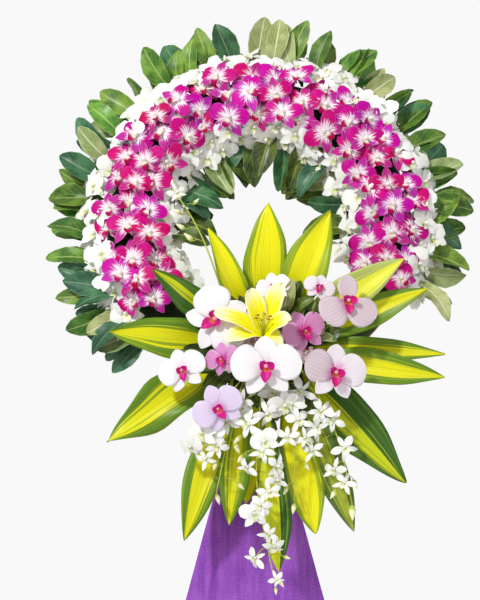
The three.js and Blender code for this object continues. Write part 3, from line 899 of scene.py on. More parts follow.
def set_tint(shape: Shape, value: float, first: int = 0) -> None:
    """Gives every vertex from the first one on the same tint."""
    layer = shape.verts.layers.float[TINT_NAME]
    shape.verts.ensure_lookup_table()
    for vert in shape.verts[first:]:
        vert[layer] = value


class Template:
    """A small mesh that is copied into a cluster many times."""

    def __init__(self, name: str, build: Callable[[Shape], None]) -> None:
        """Builds the template once."""
        shape = new_shape()
        build(shape)
        self.mesh = bpy.data.meshes.new(name)
        shape.to_mesh(self.mesh)
        shape.free()

    def copy(self, shape: Shape, matrix: Matrix, tint: float, finish: int | None = None) -> None:
        """Adds one copy.

        Args:
            shape: The cluster.
            matrix: Where the copy goes.
            tint: Its own number from 0 to 1, for its colour.
            finish: A material index for all its faces, or None to keep its own.
        """
        first, first_face = len(shape.verts), len(shape.faces)
        shape.from_mesh(self.mesh)
        shape.verts.ensure_lookup_table()
        bmesh.ops.transform(shape, matrix=matrix, verts=shape.verts[first:])
        set_tint(shape, tint, first)
        if finish is not None:
            shape.faces.ensure_lookup_table()
            for face in shape.faces[first_face:]:
                face.material_index = finish


def publish(
    shape: Shape, name: str, finishes: Sequence[Finish], nodes: Sequence[str] = (),
    matrix: Matrix | None = None, wall: float = 0.0,
) -> bpy.types.Object:
    """Turns a finished bmesh into a piece of the object.

    Args:
        shape: The mesh, which is used up.
        name: The piece's name.
        finishes: Its finishes, in the order of its faces' material indices.
        nodes: The CAD nodes that it stands for.
        matrix: From the mesh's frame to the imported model's; the leaning frame's if left out.
        wall: The thickness to give a sheet, in metres.

    Returns:
        The piece.
    """
    bmesh.ops.transform(shape, matrix=LEAN.matrix if matrix is None else matrix, verts=shape.verts)
    if wall:
        bmesh.ops.solidify(shape, geom=list(shape.faces), thickness=wall)
    mesh = bpy.data.meshes.new(name)
    shape.to_mesh(mesh)
    shape.free()
    for finish in finishes:
        mesh.materials.append(finish.material())
    piece = bpy.data.objects.new(name, mesh)
    bpy.context.scene.collection.objects.link(piece)
    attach(piece, BODY)
    if nodes:
        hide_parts(*nodes)
    LOG.info("%-28s %6d faces", name, len(mesh.polygons))
    return piece


# ---- dendrobium heads ----


class Head(Enum):
    """The kinds of dendrobium head."""

    MAGENTA = "magenta"
    WHITE = "white"
    SLENDER = "slender"


@dataclass(frozen=True)
class Dendrobium:
    """A dendrobium head: two round petals, three narrower sepals, a lip and a column."""

    kind: Head
    petal_width: float = 0.86
    sepal_width: float = 0.46
    openness: float = 0.35

    def petals(self) -> list[Petal]:
        """Its petals, sepals, lip and their places, from back to front."""
        fine = dict(across=2, along=5)
        slender = self.kind is Head.SLENDER
        back = dict(width=self.sepal_width, belly=0.5, fullness=0.8, rise=self.openness,
                    fall=self.openness + 0.12, cup=0.3)
        broad = dict(width=self.petal_width, belly=0.58,
                     fullness=0.75 if slender else 0.5, rise=self.openness + 0.1,
                     fall=self.openness + 0.14, cup=-0.12, ruffle=0.05,
                     start=(0, 0, 0.04), across=3, along=6)
        return [
            *(Petal(at, size, **back, finish=1, **fine) for at,
              size in ((90, 0.97), (-42, 0.95), (-138, 0.95))),
            *(Petal(at, 1.0, **broad) for at in (22, 158)),
            Petal(-90, 0.5, 0.4, belly=0.6, fullness=0.65, claw=0.5, rise=0.9,
                  fall=0.7, cup=0.5, ruffle=0.06,
                  start=(0, 0.02, 0.1), across=2, along=4, finish=2),
        ]

    def template(self, name: str, radius: float, seed: int) -> Template:
        """One variant of the head.

        Args:
            name: The template's name.
            radius: The head's radius, in metres.
            seed: The number that its small differences come from.

        Returns:
            The template, facing +Z.
        """
        draw = Random(seed)
        loose = 1.8 if self.kind is Head.SLENDER else 1.0

        def build(shape: Shape) -> None:
            for petal in self.petals():
                petal = replace(
                    petal, length=petal.length * draw.uniform(1 - 0.1 * loose, 1.05),
                    angle=petal.angle + draw.gauss(0, 4 * loose),
                    fall=petal.fall * draw.uniform(1 - 0.4 * loose, 1 + 0.5 * loose),
                    width=petal.width * draw.uniform(0.88, 1.1))
                petal.build(shape, radius, draw)
            tip = Vector((0, 0.1, 0.34)) * radius
            sweep(shape, [Vector((0, 0.02, 0)), tip * 0.6, tip],
                  [radius * 0.1, radius * 0.11, radius * 0.05], 5, 3)

        return Template(name, build)


class Heads:
    """The templates of every kind of head, in a few variants each."""

    VARIANTS = 6

    def __init__(self) -> None:
        """Builds the variants."""
        self.kinds = {
            Head.MAGENTA: [Dendrobium(Head.MAGENTA, 0.8, 0.5, 0.16 + 0.07 * k)
                           for k in range(self.VARIANTS)],
            Head.WHITE: [Dendrobium(Head.WHITE, 0.94, 0.54, 0.2 + 0.06 * k) for k in range(self.VARIANTS)],
            Head.SLENDER: [Dendrobium(Head.SLENDER, 0.52, 0.34, 0.5 + 0.1 * k)
                           for k in range(self.VARIANTS)],
        }
        self.templates = {
            kind: [one.template(f"{kind.value}_{k}", 1.0, 40 + k) for k, one in enumerate(shapes)]
            for kind, shapes in self.kinds.items()
        }

    def add(self, shape: Shape, kind: Head, matrix: Matrix, radius: float, draw: Random) -> None:
        """Adds one head of a kind to a cluster, in one of its variants."""
        chosen = draw.choice(self.templates[kind])
        chosen.copy(shape, matrix @ Matrix.Scale(radius, 4), draw.random())


MAGENTA_FINISHES = (MAGENTA_PETAL, MAGENTA_SEPAL, MAGENTA_LIP, COLUMN)
WHITE_FINISHES = (WHITE_PETAL, WHITE_PETAL, WHITE_LIP, COLUMN)


@dataclass(frozen=True)
class Band:
    """One band of heads round the ring.

    Attributes:
        name: The band's name, as its CAD nodes have it.
        kind: The kind of its heads.
        slot: The name of a material slot; not used.
        stretches: The number of CAD nodes that it has.
        rows: For each row, the degrees round the foam's section, from the outside over the front.
        pitch: The distance between two heads of a row.
        radius: A head's radius.
        parts: The number of pieces that each stretch is made in.
    """

    name: str
    kind: Head
    slot: str
    stretches: int
    rows: tuple[float, ...]
    pitch: float
    radius: float
    parts: int


@dataclass
class FlowerBands:
    """The three bands of orchid heads on the ring."""

    arc: tuple[float, float] = (-24.0, 218.0)
    half_width: float = 0.091
    depth: float = 0.094
    bands: tuple[Band, ...] = (
        Band("outer_white_orchids", Head.WHITE, "white_petal_band", 2, (14.0, 32.0, 49.0), 0.041, 0.031, 3),
        Band("magenta_orchids", Head.MAGENTA, "magenta_petal", 3, (66.0, 88.0, 112.0), 0.049, 0.038, 3),
        Band("inner_white_orchids", Head.WHITE, "white_petal_band", 2, (132.0, 153.0), 0.042, 0.030, 2),
    )

    def seat(self, turn: float, section: float, sink: float) -> tuple[Vector, Vector]:
        """A head's place on the ring and the way that it faces.

        Args:
            turn: Radians round the ring, from the right.
            section: Radians round the foam's section, from the outside over the front.
            sink: How far it is pushed in, in metres.

        Returns:
            Its centre and its outward direction, in the leaning frame.
        """
        outward = Vector((cos(turn), 0, sin(turn)))
        normal = outward * cos(section) + TO_VIEWER * sin(section)
        reach = RING_MID + (self.half_width - sink) * cos(section)
        place = outward * reach + TO_VIEWER * (self.depth - sink) * sin(section)
        return place + Vector((0, 0, RING_HEIGHT)), normal

    def build(self, heads: Heads) -> None:
        """Builds every band, piece by piece."""
        for index, band in enumerate(self.bands):
            draw = Random(700 + index)
            count = band.stretches * band.parts
            clusters = [new_shape() for _ in range(count)]
            for row, section in enumerate(band.rows):
                radius = RING_MID + self.half_width * cos(radians(section))
                steps = round(radians(self.arc[1] - self.arc[0]) * radius / band.pitch)
                for k in range(steps + 1):
                    share = min(0.9999, max(0.0,
                                            (k + 0.5 * (row % 2) + draw.uniform(-0.2, 0.2)) / (steps + 0.5)))
                    turn = radians(self.arc[0] + share * (self.arc[1] - self.arc[0]))
                    around = radians(section + draw.uniform(-4, 4))
                    place, normal = self.seat(turn, around, draw.uniform(-0.004, 0.012))
                    way = normal * 0.55 + TO_VIEWER * 0.45
                    way += Vector([draw.uniform(-0.26, 0.26) for _ in range(3)])
                    roll = draw.gauss(0, 0.55)
                    size = band.radius * draw.uniform(0.9, 1.12)
                    heads.add(clusters[int(share * count)], band.kind, looking(place, way, roll), size, draw)
            finishes = MAGENTA_FINISHES if band.kind is Head.MAGENTA else WHITE_FINISHES
            for k, cluster in enumerate(clusters):
                node = f"{band.name}_{k // band.parts + 1}"
                publish(cluster, f"{node}_{'abc'[k % band.parts]}", finishes, (node,))


# ---- leaf fringes ----


@dataclass(frozen=True)
class LeafShape:
    """A broad glossy leaf that grows along +Y from the origin with its upper face to +Z."""

    width: float = 0.31
    belly: float = 0.6
    arch: float = 0.12
    fold: float = 0.22
    wave: float = 0.03
    across: int = 4
    along: int = 8

    def template(self, name: str, seed: int) -> Template:
        """One variant, one unit long, its underside a little behind its upper face."""
        draw = Random(seed)
        arch, fold = self.arch * draw.uniform(-0.3, 1.8), self.fold * draw.uniform(0.2, 1.8)
        bend, phase = draw.uniform(-0.14, 0.14), draw.uniform(0, tau)
        belly, fullness = self.belly + draw.uniform(-0.05, 0.06), draw.uniform(0.5, 0.72)
        width = self.width * draw.uniform(0.82, 1.16)

        def build(shape: Shape) -> None:
            for finish, back in ((0, 0.0), (1, -0.006)):
                verts = add_grid(shape, self.across, self.along, finish)
                for vert in verts:
                    side, along = vert.co.x, (vert.co.y + 1) / 2
                    warped = min(1.0, along ** (log(0.5) / log(belly)))
                    half = width / 2 * max(sin(pi * warped) ** fullness, 0.08 * (1 - along))
                    lift = arch * (1 - (2 * along - 1) ** 2) + fold * half * abs(side) * 2
                    lift += self.wave * sin(9 * along + phase + side) * side * side
                    vert.co = Vector((side * half + bend * along * along, along, lift + back))
                bmesh.ops.remove_doubles(shape, verts=verts, dist=0.002)

        return Template(name, build)


@dataclass(frozen=True)
class Fringe:
    """One fringe of leaves.

    Attributes:
        name: The fringe's name, as its CAD nodes have it.
        arc: Degrees round the ring that it covers.
        stretches: The number of CAD nodes that it has.
        parts: The number of pieces that each stretch is made in.
        layers: For each layer: leaves, root radius, tip radius, distance to the front, and its own arc.
        lean: How far the tips may lean to the front, in radians: low and high.
        width: A leaf's width as a share of its length.
        belly: Where along its length a leaf is widest.
    """

    name: str
    arc: tuple[float, float]
    stretches: int
    parts: int
    layers: tuple[tuple[int, float, float, float, float, float], ...]
    lean: tuple[float, float]
    width: float
    belly: float


@dataclass
class LeafFringes:
    """The leaves that stand out round the ring and those that stand in towards its hole."""

    fringes: tuple[Fringe, ...] = (
        Fringe("outer_leaves", (-23.0, 226.0), 3, 2,
               ((32, 0.290, 0.398, 0.006, -23.0, 226.0), (42, 0.288, 0.408, 0.026, -23.0, 226.0),
                (7, 0.280, 0.392, 0.036, 200.0, 226.0)), (-0.25, 0.30), 0.40, 0.64),
        Fringe("inner_leaves", (-10.0, 190.0), 2, 1,
               ((14, 0.192, 0.072, 0.006, -10.0, 190.0), (12, 0.192, 0.082, 0.026, -10.0, 190.0)),
               (-0.12, 0.25), 0.42, 0.58),
    )

    def build(self) -> None:
        """Builds both fringes."""
        for index, fringe in enumerate(self.fringes):
            draw = Random(900 + index)
            templates = [LeafShape(fringe.width, fringe.belly).template(f"{fringe.name}_{k}", 60 + k)
                         for k in range(6)]
            count = fringe.stretches * fringe.parts
            clusters = [new_shape() for _ in range(count)]
            start, end = fringe.arc
            for number, root, tip, front, low, high in fringe.layers:
                for k in range(number):
                    degrees = low + (k + 0.5 + draw.uniform(-0.28, 0.28)) / number * (high - low)
                    matrix = self.seat(degrees, root, tip, front, fringe, draw)
                    flipped = draw.random() < 0.2
                    finish = self.finish_of(degrees, flipped, draw)
                    cluster = clusters[min(count - 1, int((degrees - start) / (end - start) * count))]
                    draw.choice(templates).copy(cluster, matrix, draw.random(), finish)
            top = LEAF_INNER if fringe.name == "inner_leaves" else LEAF_TOP
            for k, cluster in enumerate(clusters):
                node = f"{fringe.name}_{k // fringe.parts + 1}"
                name = node if fringe.parts == 1 else f"{node}_{'ab'[k % fringe.parts]}"
                publish(cluster, name, (top, LEAF_UNDER, LEAF_BLUE), (node,))

    def finish_of(self, degrees: float, flipped: bool, draw: Random) -> int | None:
        """The material index for a whole leaf, or None to keep a green face and a pale underside."""
        if flipped:
            return 1
        blue = max(smooth(degrees, 195.0, 215.0), 1 - abs(degrees - 156.0) / 16.0, 0.1)
        return 2 if draw.random() < blue else None

    def seat(
        self, degrees: float, root: float, tip: float, front: float, fringe: Fringe, draw: Random
    ) -> Matrix:
        """Where one leaf goes.

        Args:
            degrees: Its place round the ring.
            root: The radius where it starts.
            tip: The radius that it reaches.
            front: How far its root stands towards the viewer.
            fringe: The fringe that it belongs to.
            draw: The source of its small differences.

        Returns:
            The transform from the leaf's own frame into the leaning frame.
        """
        turn = radians(degrees)
        outward = Vector((cos(turn), 0, sin(turn)))
        inward = tip < root
        way = -outward if inward else outward
        length = abs(tip - root) * draw.uniform(0.88, 1.03)
        tangent = Vector((-sin(turn), 0, cos(turn)))
        lean = draw.uniform(*fringe.lean)
        along = (way + tangent * draw.gauss(0, 0.2 if inward else 0.3) + TO_VIEWER * lean).normalized()
        basis = standing(along, (TO_VIEWER + tangent * draw.gauss(0, 0.5)).normalized())
        place = outward * root + TO_VIEWER * (front
                                              + draw.uniform(-0.006, 0.008)) + Vector((0, 0, RING_HEIGHT))
        return Matrix.Translation(place) @ basis @ Matrix.Scale(length, 4)


# ---- ring core and stand ----


@dataclass
class RingCore:
    """The foam ring and the plywood board behind it."""

    board_thick: float = 0.009
    overhang: float = 0.002
    steps: int = 96

    def spun(self, profile: Sequence[tuple[float, float]]) -> Shape:
        """A full ring from a closed profile of radius and depth points."""
        shape = new_shape()
        made = bmesh.ops.create_circle(shape, cap_ends=False, segments=len(profile), radius=1.0)["verts"]
        for vert, (radius, depth) in zip(made, profile):
            vert.co = Vector((radius, depth, 0))
        bmesh.ops.spin(shape, geom=list(shape.edges), cent=(0, 0, 0), axis=(0, 1, 0), angle=tau,
                       steps=self.steps, use_merge=True)
        bmesh.ops.remove_doubles(shape, verts=shape.verts, dist=1e-5)
        bmesh.ops.recalc_face_normals(shape, faces=shape.faces)
        bmesh.ops.translate(shape, vec=(0, 0, RING_HEIGHT), verts=shape.verts)
        return shape

    def build(self) -> None:
        """Builds both rings."""
        half = RING_HALF + self.overhang
        board = self.spun([(RING_MID - half, 0.0004), (RING_MID + half, 0.0004),
                           (RING_MID + half, self.board_thick),
                           (RING_MID - half, self.board_thick)])
        sharp = [edge for edge in board.edges if edge.calc_face_angle(0) > 1.0]
        bmesh.ops.bevel(board, geom=sharp, offset=0.0008, segments=2,
                        affect="EDGES", profile=0.5, material=-1)
        publish(board, "ring_board", (TimberFinish("plywood", roughness=0.7,
                                                   relief=0.3, light=rgb(220, 186, 138),
                                                   dark=rgb(176, 136, 88), along=(1, 0, 0)),),
                                                   ("ring_board",))
        points = [pi * k / 14 for k in range(15)]
        foam = self.spun([(RING_MID + RING_HALF * cos(a), -RING_DEPTH * sin(a)) for a in points])
        for vert in foam.verts:
            vert.co += vert.normal * 0.0016 * noise.noise(vert.co * 60)
        for face in foam.faces:
            face.smooth = True
        publish(foam, "foam_ring", (FOAM,), ("foam_ring",))


@dataclass
class Stand:
    """The timber tripod: every board keeps its CAD shape and gets eased edges, grain and nails."""

    ease: float = 0.0013
    nail_radius: float = 0.0036
    boards: tuple[tuple[str, Point], ...] = (
        ("front_leg_left", (-0.26, -0.15, -0.95)), ("front_leg_right", (0.26, -0.15, -0.95)),
        ("rear_leg", (0.0, 0.37, -0.93)), ("mast", (0.0, 0.156, 0.988)), ("head_block", (0.0, 0.156, 0.988)),
        ("front_rail", (1.0, 0.0, 0.0)), ("rear_stay", (0.0, 1.0, 0.0)),
    )

    def build(self) -> None:
        """Builds the boards and their nails."""
        for index, (node, along) in enumerate(self.boards):
            shape = bmesh.new()
            shape.from_mesh(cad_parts[node].data)
            bmesh.ops.remove_doubles(shape, verts=shape.verts, dist=1e-5)
            bmesh.ops.dissolve_limit(shape, angle_limit=0.01, verts=shape.verts, edges=shape.edges)
            bmesh.ops.bevel(shape, geom=list(shape.edges), offset=self.ease, segments=2,
                            affect="EDGES", profile=0.5,
                            material=-1)
            fade = 0.9 + 0.05 * (index % 3)
            light = tuple(value * fade for value in TIMBER_LIGHT[:3]) + (1.0,)
            finish = TimberFinish(f"timber_{node}", roughness=0.74, relief=0.35,
                                  relief_depth=0.0008, light=light,
                                  dark=TIMBER_DARK, along=along)
            publish(shape, node, (finish,), (node,), matrix=Matrix())
        self.build_nails()

    def build_nails(self) -> None:
        """Builds the nail heads that show from behind."""
        shape = new_shape()
        mast_low, mast_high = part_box("mast")
        lean = LEAN.matrix
        centre = (mast_low[0] + mast_high[0]) / 2 - LEAN.x
        back = Vector((0, 1, 0))
        spots = [(lean @ Vector((centre + dx, 0.0296, z)), lean.to_3x3() @ back)
                 for dx in (-0.02, 0.02) for z in (0.672, 0.726, 0.846, 0.893)]
        rail_low, rail_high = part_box("front_rail")
        for x in (rail_low[0] + 0.012, rail_high[0] - 0.012):
            for z in (0.242, 0.258):
                spots.append((lean @ Vector((x - LEAN.x, 0.0272, z)), lean.to_3x3() @ back))
        leg_low, leg_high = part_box("rear_leg")
        for z in (0.68, 0.722):
            share = z / leg_high[2]
            y = leg_high[1] + (leg_low[1] + 0.028 - leg_high[1]) * share
            spots.append((Vector(((leg_low[0] + leg_high[0]) / 2, y, z)), Vector((0, 0.93, 0.37))))
        for place, way in spots:
            turn = way.to_track_quat("Z", "Y").to_matrix().to_4x4()
            bmesh.ops.create_cone(shape, cap_ends=True, segments=14, radius1=self.nail_radius,
                                  radius2=self.nail_radius * 0.8,
                                  depth=0.0012, matrix=Matrix.Translation(place + way * 0.0004) @ turn)
        publish(shape, "nail_heads", (WIRE,), matrix=Matrix())


@dataclass
class Skirt:
    """The purple cloth over the front legs: a panel with soft folds whose edges wrap round the legs.

    Attributes:
        centre: Its middle, to the right of the frame's.
        apex: The height where its two edges would meet.
        slope: Half its width for each metre below the apex.
        top: The height of its gathered top.
        hem: The height of its hem.
        front: How far the panel stands in front of the leg line.
        wrap: How far the edges reach back.
        flap: The share of the grid that each wrapped edge takes.
        corner: How far from each edge its corner begins to round.
        set_back: How far a corner stands back from the panel, and a wrapped edge draws in.
        across: Faces across it.
        along: Faces along it.
    """

    centre: float = -0.010
    apex: float = 0.898
    slope: float = 0.27
    top: float = 0.790
    hem: float = 0.011
    front: float = 0.0216
    wrap: float = 0.026
    flap: float = 0.12
    corner: float = 0.004
    set_back: float = 0.0015
    across: int = 96
    along: int = 130

    def fold(self, across: float, along: float) -> float:
        """How far the cloth stands out at a place: folds that open towards the hem."""
        open_out = 0.25 + 0.75 * along
        made = 0.0042 * sin(across * 7.1 + 0.6 + 0.5 * sin(along * 2.6))
        made += 0.0026 * sin(across * 15.7 + 1.9 + 0.8 * along)
        crease = 0.005 * exp(-(((across + 0.72 - 0.05 * along) / 0.05) ** 2))
        dent = -0.004 * exp(-(((across - 0.62 - 0.10 * along) / 0.07) ** 2))
        ripple = 0.0012 * noise.noise(Vector((across * 9, along * 7, 2.0)))
        return open_out * made + crease + dent + ripple

    def build(self) -> None:
        """Builds the skirt in its purple cloth finish."""
        shape = new_shape()
        verts = add_grid(shape, self.across, self.along, even=True)
        uv_layer = shape.loops.layers.uv[UV_NAME]
        reach = 1 - self.flap
        for vert in verts:
            across, along = vert.co.x, (1 - vert.co.y) / 2
            height = self.top + (self.hem - self.top) * along
            half = self.slope * (self.apex - height)
            if abs(across) <= reach:
                share = across / reach
                round_off = smooth(abs(share), 0.93, 1.0)
                bend = 1 - smooth((1 - abs(share)) * half, 0.0, self.corner)
                x = share * half
                y = -self.front - max(0.0, self.fold(share, along) * (1 - round_off)) + self.set_back * bend
            else:
                share = (abs(across) - reach) / self.flap
                x = copysign(half - self.set_back * share, across)
                y = -self.front + self.set_back + self.wrap * share
            vert.co = Vector((self.centre + x, y, height))
        for face in shape.faces:
            for loop in face.loops:
                at = loop.vert.co
                loop[uv_layer].uv = (at.x + copysign(max(0.0, at.y + self.front), at.x - self.centre), at.z)
        piece = publish(shape, "purple_skirt", (CLOTH,), ("purple_skirt",), wall=0.0012)


# ---- bouquet ----


@dataclass(frozen=True)
class StripedLeaf:
    """One long striped leaf of the bouquet.

    Attributes:
        name: Its name after striped_leaf_.
        at: Degrees round the bouquet foam where it leaves.
        tip: Its tip, to the right and up, in the leaning frame.
        width: Its width.
        root: How far its root stands to the front.
        out: How far its tip stands to the front.
        bow: How far its middle bows to the front.
        finish: Its finish.
        twist: Degrees that its blade turns from root to tip.
        fold: How strongly it folds along its midrib.
        wave: How strongly its edges wave.
        belly: Where along its length it is widest.
    """

    name: str
    at: float
    tip: tuple[float, float]
    width: float
    root: float
    out: float
    bow: float
    finish: StripedFinish
    twist: float = 0.0
    fold: float = 0.3
    wave: float = 0.07
    belly: float = 0.43


STRIPED_LEAVES = tuple(StripedLeaf(*row) for row in (
    ("top_left", 112, (-0.094, 1.091), 0.046, 0.094, 0.150, 0.026, STRIPED_YELLOW, -34, 0.5),
    ("top_centre", 92, (0.014, 1.141), 0.080, 0.082, 0.132, 0.022, STRIPED_YELLOW, 6, 0.2),
    ("top_right", 64, (0.125, 1.127), 0.080, 0.084, 0.136, 0.024, STRIPED_YELLOW, -10, 0.4),
    ("upper_right", 40, (0.257, 1.035), 0.066, 0.092, 0.158, 0.012, STRIPED_PALE, 10, 0.4),
    ("right_high", 21, (0.299, 0.984), 0.060, 0.080, 0.140, 0.004, STRIPED_BRIGHT, -14),
    ("right_middle", 3, (0.329, 0.868), 0.048, 0.080, 0.122, 0.008, STRIPED_BRIGHT, 16),
    ("right_low", -15, (0.326, 0.824), 0.064, 0.094, 0.140, 0.012, STRIPED_BRIGHT, -6),
    ("lower_right", -38, (0.257, 0.639), 0.092, 0.082, 0.112, 0.014, STRIPED_GREEN, 8),
    ("foot_right", -52, (0.165, 0.554), 0.060, 0.097, 0.092, 0.024, STRIPED_OLIVE, -10, 0.3, 0.07, 0.56),
    ("foot_yellow", -72, (0.097, 0.550), 0.072, 0.080, 0.112, 0.014, STRIPED_YELLOW, 6, 0.3, 0.07, 0.62),
    ("foot_centre", -88, (0.031, 0.484), 0.056, 0.094, 0.134, 0.018, STRIPED_HALF, -6, 0.3, 0.07, 0.66),
    ("foot_inner", -103, (-0.025, 0.604), 0.058, 0.078, 0.100, 0.012, STRIPED_YELLOW, 8, 0.3, 0.07, 0.6),
    ("foot_left", -117, (-0.056, 0.565), 0.056, 0.094, 0.122, 0.018, STRIPED_BRIGHT, -10, 0.3, 0.07, 0.6),
    ("lower_left", -133, (-0.136, 0.538), 0.068, 0.082, 0.104, 0.020, STRIPED_BRIGHT, 6, 0.3, 0.07, 0.55),
    ("left_low", -160, (-0.272, 0.710), 0.086, 0.086, 0.128, 0.016, STRIPED_BRIGHT, -8, 0.3, 0.16),
    ("left_middle", 170, (-0.271, 0.908), 0.074, 0.084, 0.128, 0.010, STRIPED_BRIGHT, 8),
    ("left_high", 147, (-0.194, 1.017), 0.054, 0.094, 0.150, 0.012, STRIPED_GREEN, -12),
))


class OrchidTone(Enum):
    """The colours that the moth orchids come in; two of them, the pale purple and the greyish purple, are
    painted shade.
    """

    WHITE = "white"
    BLUSH = "blush"
    # Painted shade: a pale purple tone that stands for a flower in shade.
    SHADE_LILAC = "lilac"
    PINK = "pink"
    # Painted shade: a greyish purple tone that stands for petals in shade.
    SHADE_MAUVE = "shade_mauve"

    def finish(self) -> PetalFinish:
        """The petals' finish."""
        base = PetalFinish(
            "moth_white", roughness=0.42, soft=0.12, throat=rgb(236, 190, 224), body=rgb(253, 250, 252),
            rim=rgb(255, 255, 255), vein=rgb(236, 214, 232), reach=0.1, rays=0.35, rim_share=0.4,
            veins=0.12, hue_span=0.01)
        changes = {
            OrchidTone.WHITE: {},
            OrchidTone.BLUSH: dict(throat=rgb(226, 150, 206), body=rgb(252, 240, 250), reach=0.22, rays=0.6),
            # Painted shade: pale purple body, throat and veins that stand for the shade on this flower.
            OrchidTone.SHADE_LILAC: dict(throat=rgb(206, 160, 214),
                                   body=rgb(226, 208, 238), rim=rgb(244, 234, 250),
                                   vein=rgb(204, 176, 216), reach=0.2, veins=0.25),
            OrchidTone.PINK: dict(throat=rgb(206, 60, 150), body=rgb(226, 150, 206), rim=rgb(248, 220, 242),
                                  vein=rgb(206, 110, 180), reach=0.24, rays=0.7, veins=0.35, rim_share=0.6),
            # Painted shade: greyish purple body and veins that stand for shade on the petals.
            OrchidTone.SHADE_MAUVE: dict(throat=rgb(214, 120, 186),
                                   body=rgb(222, 202, 212), rim=rgb(240, 228, 236),
                                   vein=rgb(172, 140, 152), reach=0.16, rays=0.4, veins=0.25),
        }
        return replace(base, name=f"moth_{self.value}", **changes[self])


MOTH_LIP = PetalFinish(
    "moth_lip", roughness=0.4, throat=rgb(246, 150, 60), body=rgb(222, 20, 138), rim=rgb(200, 10, 130),
    vein=rgb(120, 0, 70), reach=0.2, rays=0.5, rim_share=0.5, veins=0.35, hue_span=0.02)


@dataclass(frozen=True)
class MothOrchid:
    """One moth orchid of the bouquet.

    Attributes:
        name: Its name after moth_orchid_.
        at: Its centre in the leaning frame.
        radius: Half its span.
        tone: The colour of its petals; for two tones this colour is painted shade.
        up: Degrees that it looks upwards.
        right: Degrees that it looks to the right.
        roll: Degrees that it turns about its axis.
        droop: Degrees that its two broad petals hang down.
        shaded: The index of a petal painted in the greyish purple tone that stands for shade, or -1.
        root: The share of the foam's face where its stalk starts.
        via: A point that its stalk goes round by, if any.
    """

    name: str
    at: Point
    radius: float
    tone: OrchidTone = OrchidTone.WHITE
    up: float = 0.0
    right: float = 0.0
    roll: float = 0.0
    droop: float = 0.0
    shaded: int = -1
    root: float = 0.62
    via: Point | None = None

    def petals(self) -> list[Petal]:
        """Its sepals and petals, from back to front."""
        fine = dict(rise=0.1, fall=0.16, ruffle=0.015, across=8, along=10)
        lower = dict(belly=0.52, fullness=0.7, cup=0.12, **fine)
        broad = dict(belly=0.6, fullness=0.5, claw=0.14, rise=0.22, fall=0.2, cup=-0.08,
                     ruffle=0.03, across=12, along=12)
        made = [
            Petal(90, 0.92, 0.66, belly=0.56, fullness=0.62, cup=0.1, **fine),
            *(Petal(at, 0.86, 0.54, **lower) for at in (-52, -128)),
            Petal(13 - self.droop, 1.0, 1.06, start=(0, 0, 0.05), **broad),
            Petal(167 + self.droop, 1.0, 1.06, start=(0, 0, 0.06), **broad),
        ]
        # Painted shade: the shaded petal takes finish 3, the greyish purple shade tone.
        if self.shaded >= 0:
            made[self.shaded] = replace(made[self.shaded], finish=3)
        return made

    def lip(self) -> list[Petal]:
        """The lip: a pointed middle lobe and two side lobes that stand up beside the column."""
        side = dict(belly=0.6, fullness=0.6, claw=0.4, rise=0.5, fall=0.1, cup=0.6, pitch=26,
                    across=5, along=6, finish=1)
        return [
            Petal(-90, 0.42, 0.3, belly=0.45, fullness=0.8, claw=0.6, rise=0.7, fall=0.5,
                  cup=0.5, start=(0, -0.02, 0.1),
                  across=6, along=8, finish=1),
            Petal(38, 0.3, 0.28, start=(0.03, -0.05, 0.1), **side),
            Petal(142, 0.3, 0.28, start=(-0.03, -0.05, 0.1), **side),
        ]


MOTH_ORCHIDS = (
    MothOrchid("front", (0.008, -0.196, 0.834), 0.063, OrchidTone.WHITE, up=4, roll=-4),
    MothOrchid("far_left", (-0.137, -0.168, 0.832), 0.045, OrchidTone.WHITE, right=-14, roll=-24, root=0.85),
    MothOrchid("inner_left", (-0.067, -0.184, 0.850), 0.034, OrchidTone.PINK, right=-30, roll=-10),
    # Painted shade: the pale purple tone paints the shade that this flower sits in.
    MothOrchid("lower_left", (-0.074, -0.188, 0.764), 0.047, OrchidTone.SHADE_LILAC, right=-6,
               up=-8, roll=-30, root=0.35),
    MothOrchid("pink", (0.077, -0.139, 0.905), 0.044, OrchidTone.PINK, right=16, up=4, roll=-24, root=0.4),
    # Painted shade: its left broad petal is painted in the greyish purple shade tone.
    MothOrchid("lower_right", (0.128, -0.184, 0.826), 0.057, OrchidTone.BLUSH, right=12, roll=6, shaded=4),
    # Painted shade: this flower's petals take the greyish purple tone for the shade on its underside.
    MothOrchid("upper_right", (0.150, -0.190, 0.950), 0.057, OrchidTone.SHADE_MAUVE, up=10,
               right=14, roll=4, droop=48,
               root=0.8, via=(0.130, -0.124, 0.926)),
    MothOrchid("small_right", (0.104, -0.140, 0.984), 0.029, OrchidTone.BLUSH, right=8, up=10, roll=20),
    MothOrchid("small_top", (0.023, -0.142, 0.984), 0.032, OrchidTone.WHITE, up=12, roll=-16),
    MothOrchid("left", (-0.080, -0.164, 0.922), 0.065, OrchidTone.WHITE, right=-8, up=4, roll=66),
)


@dataclass(frozen=True)
class Spray:
    """A spray of dendrobium: its stem, its open heads and its buds.

    Attributes:
        node: Its CAD node's name.
        stem: The points of its stem.
        heads: For each head: its place to the right and up, in the leaning frame, its radius and its kind.
        buds: For each bud: share of the stem, step to the right, step up, length.
        slot: The name of a material slot; not used.
    """

    node: str
    stem: tuple[Point, ...]
    heads: tuple[tuple[float, float, float, Head], ...]
    buds: tuple[tuple[float, float, float, float], ...]
    slot: str = "white_petal"


